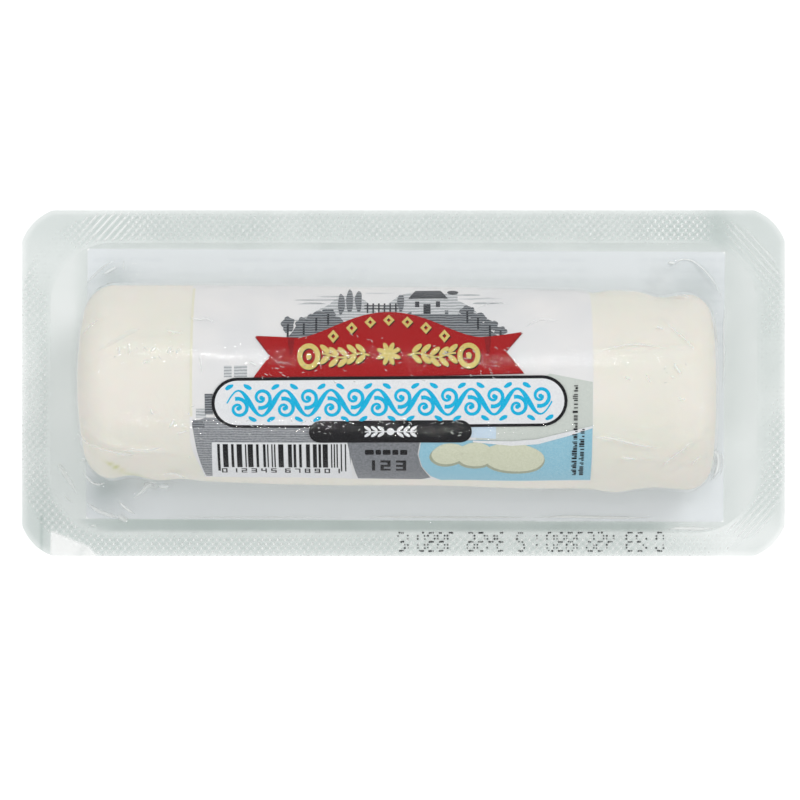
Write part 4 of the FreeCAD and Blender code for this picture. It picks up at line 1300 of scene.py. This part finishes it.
# Where the band is murkier, or with a minus clearer, with painted light in the clear front right corner:
# middle, reach along and across, how much
BAND_MURK_AND_SHADE = (
    (55.6, 27.4, 2.6, 5.0, 0.22), (-52.0, 27.5, 6.0, 5.0, -0.08), (60.0, -27.5, 12.0, 5.0, -0.19),
    (-64.5, -24.0, 3.5, 7.0, 0.1), (-63.0, 23.0, 5.0, 6.0, -0.1), (62.0, 10.0, 5.0, 12.0, 0.04),
    (66.0, 0.0, 3.0, 20.0, -0.06), (-66.5, 0.0, 2.5, 18.0, -0.12),
)
PEEL_EDGE = Vector((-62.4, -25.8))       # where the edge of the peel corner's lifted part, with its painted glare, starts
PEEL_FALL, PEEL_DROP = 0.42, 0.8         # how fast that edge falls away to the right, and how much faster
PEEL_TURN = 6.8                          # past this distance from its start


def rounded_box_distance(x, y, middle, half, corner):
    """How far (x, y) lies outside a box with rounded corners, or inside it as a negative distance."""
    a = abs(x - middle.x) - half.x + corner
    b = abs(y - middle.y) - half.y + corner
    return math.hypot(max(a, 0), max(b, 0)) + min(max(a, b), 0) - corner


def peel_glare(x, y):
    """How far (x, y) lies in the peel corner's lifted, light-filled part: 1 inside, 0 outside."""
    past = x - PEEL_EDGE.x
    below = PEEL_EDGE.y - PEEL_FALL * past - PEEL_DROP * max(past - PEEL_TURN, 0) - y
    return smooth(-0.2, 0.25, past) * smooth(0.0, 0.7, below)


def band_inner_edge(x, y):
    """How far (x, y) lies outside the welded band's inner outline."""
    return rounded_box_distance(x, y, BAND_MIDDLE, BAND_HALF, BAND_CORNER)


def outside_cut(x, y):
    """How far (x, y) lies past the pack's cut edge, with its shallow corner arcs."""
    half = Vector((BASE_HIGH.x, BASE_HIGH.y))
    past = max(abs(x) - half.x, abs(y) - half.y)
    back = CUT_INSET / 2 + math.sqrt(CUT_RADIUS ** 2 - CUT_INSET ** 2 / 2) / math.sqrt(2)
    from_arc = Vector((abs(x) - half.x + back, abs(y) - half.y + back))
    if abs(x) > half.x - CUT_INSET and abs(y) > half.y - CUT_INSET:
        past = max(past, from_arc.length - CUT_RADIUS)
    return past


def knurl_depth(x, y):
    """How deeply the sealing bars have pressed the band at (x, y). They stop short of the pack's corners."""
    inside = rounded_box_distance(x, y, WELD_MIDDLE, WELD_HALF, WELD_CORNER)
    pressed = smooth(0.1, -0.5, inside) * smooth(0.2, 0.9, band_inner_edge(x, y))
    uneven = 0.85 + 0.5 * noise.noise(Vector((x / 7, y / 7, 2.0)))
    uneven += 0.3 * noise.noise(Vector((x / 2, y / 2, 5.0)))
    return pressed * max(uneven + patch_sum(KNURL_PLACES, x, y), 0.0)


def knurl(x, y):
    """The knurl itself, from -1 to 1: points in staggered rows, which run into streaks in a few places."""
    a, b = 2 * math.pi * x / KNURL_ALONG, 2 * math.pi * y / KNURL_ACROSS
    points = math.cos(a) * math.cos(b)
    for middle_x, middle_y, reach, lean in KNURL_STREAKS:
        share = math.exp(-((x - middle_x) / reach) ** 2 - ((y - middle_y) / reach) ** 2)
        points += (math.cos(a + lean * b) - points) * min(share * 1.3, 1)
    return points


def band_painted_highlights(x, y):
    """How white the band is at (x, y): a painted highlight on each point of the knurl, which acts as a small
    bright lens, and painted glare filling the lifted peel corner."""
    glare = peel_glare(x, y)
    lens = smooth(0.2, 0.9, knurl(x, y)) * knurl_depth(x, y)
    return min(0.6 * lens * (1 - glare) + 0.45 * glare, 0.95)


def band_murk_and_shade(x, y):
    """How murky and shaded the welded films look at (x, y): their own grey-green with painted shade of what
    lies beneath, lighter at the cut edge and by the inner edge, with painted shade in the knurl's furrows and
    along a crease at the peel corner, a darker line along the peel corner's curl, and none where the peel
    corner carries painted glare.
    """
    rim = smooth(-1.2, -0.2, outside_cut(x, y))
    inner = smooth(1.6, 0.0, band_inner_edge(x, y))
    ground = 0.55 - 0.14 * rim - 0.06 * inner + 0.05 * noise.noise(Vector((x / 6, y / 6, 3.0)))
    # Painted shade in the knurl's furrows
    furrows = 0.1 * smooth(0.2, -0.6, knurl(x, y)) * knurl_depth(x, y)
    # Painted shade along the crease by the peel corner
    crease = 0.2 * math.exp(-((x + 64.05) / 0.3) ** 2) * smooth(-22.0, -23.5, y)
    curl = 0.25 * math.exp(-((x - PEEL_EDGE.x - 5.6 - 0.5 * (y + 29.5)) / 0.7) ** 2) * smooth(-28.3, -29.3, y)
    # Where the peel corner carries painted glare, its murk and painted shade give way
    shown = 1 - peel_glare(x, y)
    return (ground + furrows + patch_sum(BAND_MURK_AND_SHADE, x, y) + crease) * shown + curl * (1 - shown)


def band_height(x, y):
    """How far the welded band stands up or down from its plane: knurled, a little wavy, and lifted at the
    corner where the two films are left open to be peeled apart."""
    sag = 0.06 * noise.noise(Vector((x / 12, y / 9, 7.0)))
    corner = smooth(-60.0, -66.5, x) * smooth(-24.5, -30.0, y)
    crease = math.exp(-((x + 64.3) / 0.35) ** 2) * smooth(-24.0, -28.0, y)
    return KNURL_HEIGHT * knurl(x, y) * min(knurl_depth(x, y), 1.5) + sag + 0.5 * corner - 0.15 * crease


def make_welded_band():
    """The two films where the sealing bars have pressed them into one, out to the pack's cut edge."""
    wide, tall = 2 * BASE_HIGH.x, 2 * BASE_HIGH.y
    band = begin_grid("welded_film_band", 600, 246, size=1.0)
    move_points(band, lambda x, y, z: (x * MM * wide, y * MM * tall, 0.0))
    delete_faces(band, lambda middle, normal: outside_cut(middle.x, middle.y) > 0
                 or band_inner_edge(middle.x, middle.y) < 0)
    snap_rim(band, outside_cut, 0.75)
    snap_rim(band, band_inner_edge, 0.75)
    move_points(band, lambda x, y, z: (
        x, y, FLAT_TOP + band_height(x, y) * smooth(0.0, 1.2, band_inner_edge(x, y))))
    mark_points(band, "painted_highlight", lambda x, y, z: band_painted_highlights(x, y))
    mark_points(band, "murk_and_shade", lambda x, y, z: band_murk_and_shade(x, y))
    thicken(band, FLAT_TOP - BASE_LOW.z)
    return finish(band, "formed_clear_film", WELDED_FILM, smooth_angle=80)


PAPER_LEAN = 0.3         # how far the paper label is turned, in degrees, its right end towards the front


def paper_place(x, y):
    """Turns a place measured from the paper label's middle into one on the pack: the label lies a little
    askew."""
    lean = math.radians(-PAPER_LEAN)
    return (PAPER_SHIFT.x + x * math.cos(lean) - y * math.sin(lean),
            PAPER_SHIFT.y + x * math.sin(lean) + y * math.cos(lean))


def off_paper(x, y):
    """How far (x, y) lies past the paper label's ends, negative between them, and how far back from the line
    along its middle."""
    lean = math.radians(PAPER_LEAN)
    along, across = x - PAPER_SHIFT.x, y - PAPER_SHIFT.y
    return (abs(along * math.cos(lean) - across * math.sin(lean)) - PAPER_HALF.x,
            along * math.sin(lean) + across * math.cos(lean))


def base_murk_and_shade(x, y):
    """How murky and shaded the base film looks at (x, y): clear where it sticks to the paper; elsewhere its
    own grey with painted shade of what lies beneath, darkest where a painted shadow of the log lies in the
    narrow gap in front of the paper, and paler towards the right end and the back of the left end."""
    past_end, back = off_paper(x, y)
    below, above = -back - PAPER_HALF.y, back - PAPER_HALF.y
    if max(past_end, below, above) < 0:
        return 0.0
    murk_and_shade = 0.47 + 0.06 * noise.noise(Vector((x / 8, y / 8, 9.0)))
    # Painted shadow of the log in the narrow gap in front of the paper, fading towards both ends
    shade = 0.36 * smooth(0, 0.1, below) * smooth(0.0, 0.8, -band_inner_edge(x, y)) * smooth(52, 42, x)
    shade *= 0.4 + 0.6 * smooth(-60, -44, x)
    murk_and_shade += shade + 0.06 * smooth(0, 0.4, above)
    return murk_and_shade - 0.05 * smooth(57.5, 62.0, x) - 0.12 * smooth(2, 14, y) * smooth(-56, -59, x)


def make_base_film():
    """The free part of the base film, under the log and inside the welded band."""
    film = begin_grid("base_film_sheet", 180, 74, size=1.0)
    top = BASE_HIGH.z - LAYER_GAP
    move_points(film, lambda x, y, z: (BAND_MIDDLE.x + x * MM * 2 * BAND_HALF.x,
                                       BAND_MIDDLE.y + y * MM * 2 * BAND_HALF.y, top))
    select_all_of(film)
    for side_x, side_y in ((1, 0), (-1, 0), (0, 1), (0, -1)):
        for step in (-0.06, 0.06):
            reach = Vector((side_x * (PAPER_HALF.x + step), side_y * (PAPER_HALF.y + step)))
            at_x, at_y = paper_place(reach.x, reach.y)
            away_x, away_y = paper_place(reach.x + side_x, reach.y + side_y)
            bpy.ops.mesh.select_all(action="SELECT")
            bpy.ops.mesh.bisect(plane_co=(at_x * MM, at_y * MM, 0),
                                plane_no=(away_x - at_x, away_y - at_y, 0), threshold=0.001 * MM)
    close_edit()
    delete_faces(film, lambda middle, normal: band_inner_edge(middle.x, middle.y) > 0.2)
    snap_rim(film, band_inner_edge, 1.4)
    mark_points(film, "murk_and_shade", lambda x, y, z: base_murk_and_shade(x, y))
    thicken(film, top - BASE_LOW.z)
    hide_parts("base_film")
    return finish(film, "base_clear_film", BASE_FILM)


# ---------------------------------------------------------------- the paper label and the dotted number

def make_paper():
    """The paper label stuck beneath the base film, a little askew."""
    paper = begin("paper_label_sheet", bpy.ops.mesh.primitive_plane_add, size=1.0)
    thick = PAPER_HIGH.z - PAPER_LOW.z - LAYER_GAP
    move_points(paper, lambda x, y, z: (x * MM * 2 * PAPER_HALF.x, y * MM * 2 * PAPER_HALF.y, PAPER_LOW.z))
    select_all_of(paper)
    bpy.ops.mesh.bevel(offset=0.6 * MM, segments=4, affect="VERTICES")
    bpy.ops.mesh.select_all(action="SELECT")
    bpy.ops.mesh.extrude_region_move(TRANSFORM_OT_translate={"value": (0, 0, thick * MM)})
    bpy.ops.mesh.select_all(action="SELECT")
    bpy.ops.mesh.normals_make_consistent(inside=False)
    close_edit()
    move_points(paper, lambda x, y, z: (*paper_place(x, y), z))
    finish(paper, "label_paper", PAPER_TOP, PAPER_PRINT, smooth_angle=30)
    for face in paper.data.polygons:
        face.material_index = 1 if face.normal.z < -0.5 else 0
    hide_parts("paper_label")
    return paper


def figure_dots(figure):
    """The dots of one figure in a field of five by seven."""
    dots = set()
    for bar in FIGURES[figure]:
        if bar in "agd":
            dots |= {(column, {"a": 6, "g": 3, "d": 0}[bar]) for column in (1, 2, 3)}
        else:
            column = 4 if bar in "bc" else 0
            rows = (4, 5) if bar in "bf" else (1, 2)
            dots |= {(column, row) for row in rows}
    return dots


DOT_PITCH, DOT_COLUMN, DOT_ROW = 1.76, 0.31, 0.535    # from figure to figure, column to column, row to row
DOT_START, DOT_FOOT = 46.0, -29.72                    # the first figure's right edge, and the lowest row
DOT_LEVEL = 0.11                                      # the height at which their upper faces lie


def make_code():
    """A running number in ink-jet dots under the band's front strip, printed from beneath and so seen
    reversed. Where dots sit and how large they are varies a little, and a few are missing."""
    made = begin("running_number_dots", bpy.ops.mesh.primitive_circle_add, vertices=8, radius=0.17 * MM,
                 fill_type="NGON", location=(0, 0, 0))
    places = []
    groups = ((0, 1, 2, 3), (4, 5, 6, 7, 8, 9, 0, 1), (2,), (3, 4, 5, 6), (7, 8, 9, 0, 1, 2))
    slot_number = 0
    for group in groups:
        for figure in group:
            right = DOT_START - slot_number * DOT_PITCH
            for column, row in figure_dots(figure):
                places.append((right - column * DOT_COLUMN, DOT_FOOT + row * DOT_ROW))
            slot_number += 1
        slot_number += 1
    random.seed(5)
    select_all_of(made)
    bpy.ops.mesh.delete(type="VERT")
    for x, y in places:
        if random.random() > 0.06:
            at = ((x + random.uniform(-0.04, 0.04)) * MM, (y + random.uniform(-0.04, 0.04)) * MM,
                  DOT_LEVEL * MM)
            bpy.ops.mesh.primitive_circle_add(vertices=8, radius=random.uniform(0.13, 0.2) * MM,
                                              fill_type="NGON", location=at)
    close_edit()
    thicken(made, THIN)
    return finish(made, "base_clear_film", CODE_INK, smooth_angle=30)


# ---------------------------------------------------------------- floor, light and camera

SURROUND = 0.68          # how strongly the pale surround lights the pack
FLOOR_GLOW = 0.42        # what lifts the matt floor to white where it is seen, and leaves its shadows


def seen_share(tree):
    """A socket that is 1 for the rays by which the camera sees a background, straight or by way of gloss and
    glass, and 0 for the rays that light the pack."""
    path = node(tree, "LightPath")
    seen = node(tree, "Math", links={0: path.outputs["Is Camera Ray"], 1: path.outputs["Is Glossy Ray"]},
                operation="MAXIMUM")
    return node(tree, "Math", links={0: seen.outputs[0], 1: path.outputs["Is Transmission Ray"]},
                operation="MAXIMUM").outputs[0]


def make_stage():
    """A plain white floor that keeps the pack's soft shadow."""
    floor = begin("studio_floor", bpy.ops.mesh.primitive_plane_add, size=6.0, location=(0, 0, -0.02 * MM))
    material, tree = new_material("white_studio_floor")
    lift = node(tree, "Math", {1: FLOOR_GLOW}, {0: seen_share(tree)}, operation="MULTIPLY")
    matt = node(tree, "BsdfDiffuse", {"Color": hue("#E7E7E7")})
    glow = node(tree, "Emission", {"Color": hue("#FFFFFF")}, {"Strength": lift.outputs[0]})
    both = node(tree, "AddShader", links={0: matt.outputs[0], 1: glow.outputs[0]})
    output(tree, both.outputs[0])
    floor.data.materials.append(material)


def make_light():
    """An even pale surround, soft lamps overhead, at the back and in front, and small lamps for glints
    only."""
    world = bpy.data.worlds.new("studio_surround")
    bpy.context.scene.world = world
    world.use_nodes = True
    tree = world.node_tree
    surround = tree.nodes["Background"]
    surround.inputs["Color"].default_value = hue("#FFFFFF")
    level = node(tree, "Math", {1: 1.0 - SURROUND, 2: SURROUND}, {0: seen_share(tree)},
                 operation="MULTIPLY_ADD")
    tree.links.new(level.outputs[0], surround.inputs["Strength"])
    for name, place, size, power, glints in (
        ("overhead_softbox", (-0.1, 0.1, 1.0), (0.9, 0.7), 1.4, False),
        ("back_right_key", (0.31, 0.38, 0.86), (0.2, 0.2), 1.7, False),
        ("front_fill", (-0.2, -0.7, 0.6), (0.6, 0.3), 0.47, False),
        ("back_glint_left", (-0.11, 0.545, 0.84), (0.05, 0.05), 0.5, True),
        ("back_glint_mid_left", (-0.045, 0.545, 0.84), (0.02, 0.05), 0.22, True),
        ("back_glint_mid_right", (0.035, 0.545, 0.84), (0.03, 0.05), 0.28, True),
        ("back_glint_right", (0.1, 0.48, 0.87), (0.04, 0.05), 0.38, True),
        ("front_glint", (-0.05, -0.70, 0.70), (0.06, 0.03), 0.5, True),
        ("left_glint", (-0.60, 0.20, 0.70), (0.05, 0.10), 0.4, True),
        ("right_glint", (0.62, -0.20, 0.66), (0.05, 0.10), 0.4, True),
    ):
        bpy.ops.object.light_add(type="AREA", location=place)
        lamp = bpy.context.active_object
        lamp.name = name
        lamp.rotation_euler = Vector(place).to_track_quat("Z", "Y").to_euler()
        lamp.data.shape = "RECTANGLE"
        lamp.data.size, lamp.data.size_y = size
        lamp.data.energy = power
        lamp.visible_glossy = glints
        lamp.visible_diffuse = not glints


CAMERA_X, CAMERA_Y = -0.62, -3.0         # over the pack, a little to its front
CAMERA_RISE = 0.7                        # metres above the flat film
CAMERA_LENS = 178                        # a long lens on a 36 mm sensor


def make_camera():
    """Straight down from above the pack."""
    bpy.ops.object.camera_add(location=(CAMERA_X * MM, CAMERA_Y * MM, CAMERA_RISE + FLAT_TOP * MM),
                              rotation=(0, 0, 0))
    camera = bpy.context.active_object
    camera.data.sensor_width = 36
    camera.data.lens = CAMERA_LENS
    bpy.context.scene.camera = camera


bpy.context.scene.view_settings.view_transform = "Standard"
# Light has to pass four film faces each way, and folds
bpy.context.scene.cycles.transparent_max_bounces = 24
make_camera()
make_light()
make_stage()
make_cheese()
make_wrap()
make_landscape()
make_banner()
make_name_plates()
make_lower_fields()
make_creases(make_formed_film())
make_welded_band()
make_base_film()
make_paper()
make_code()
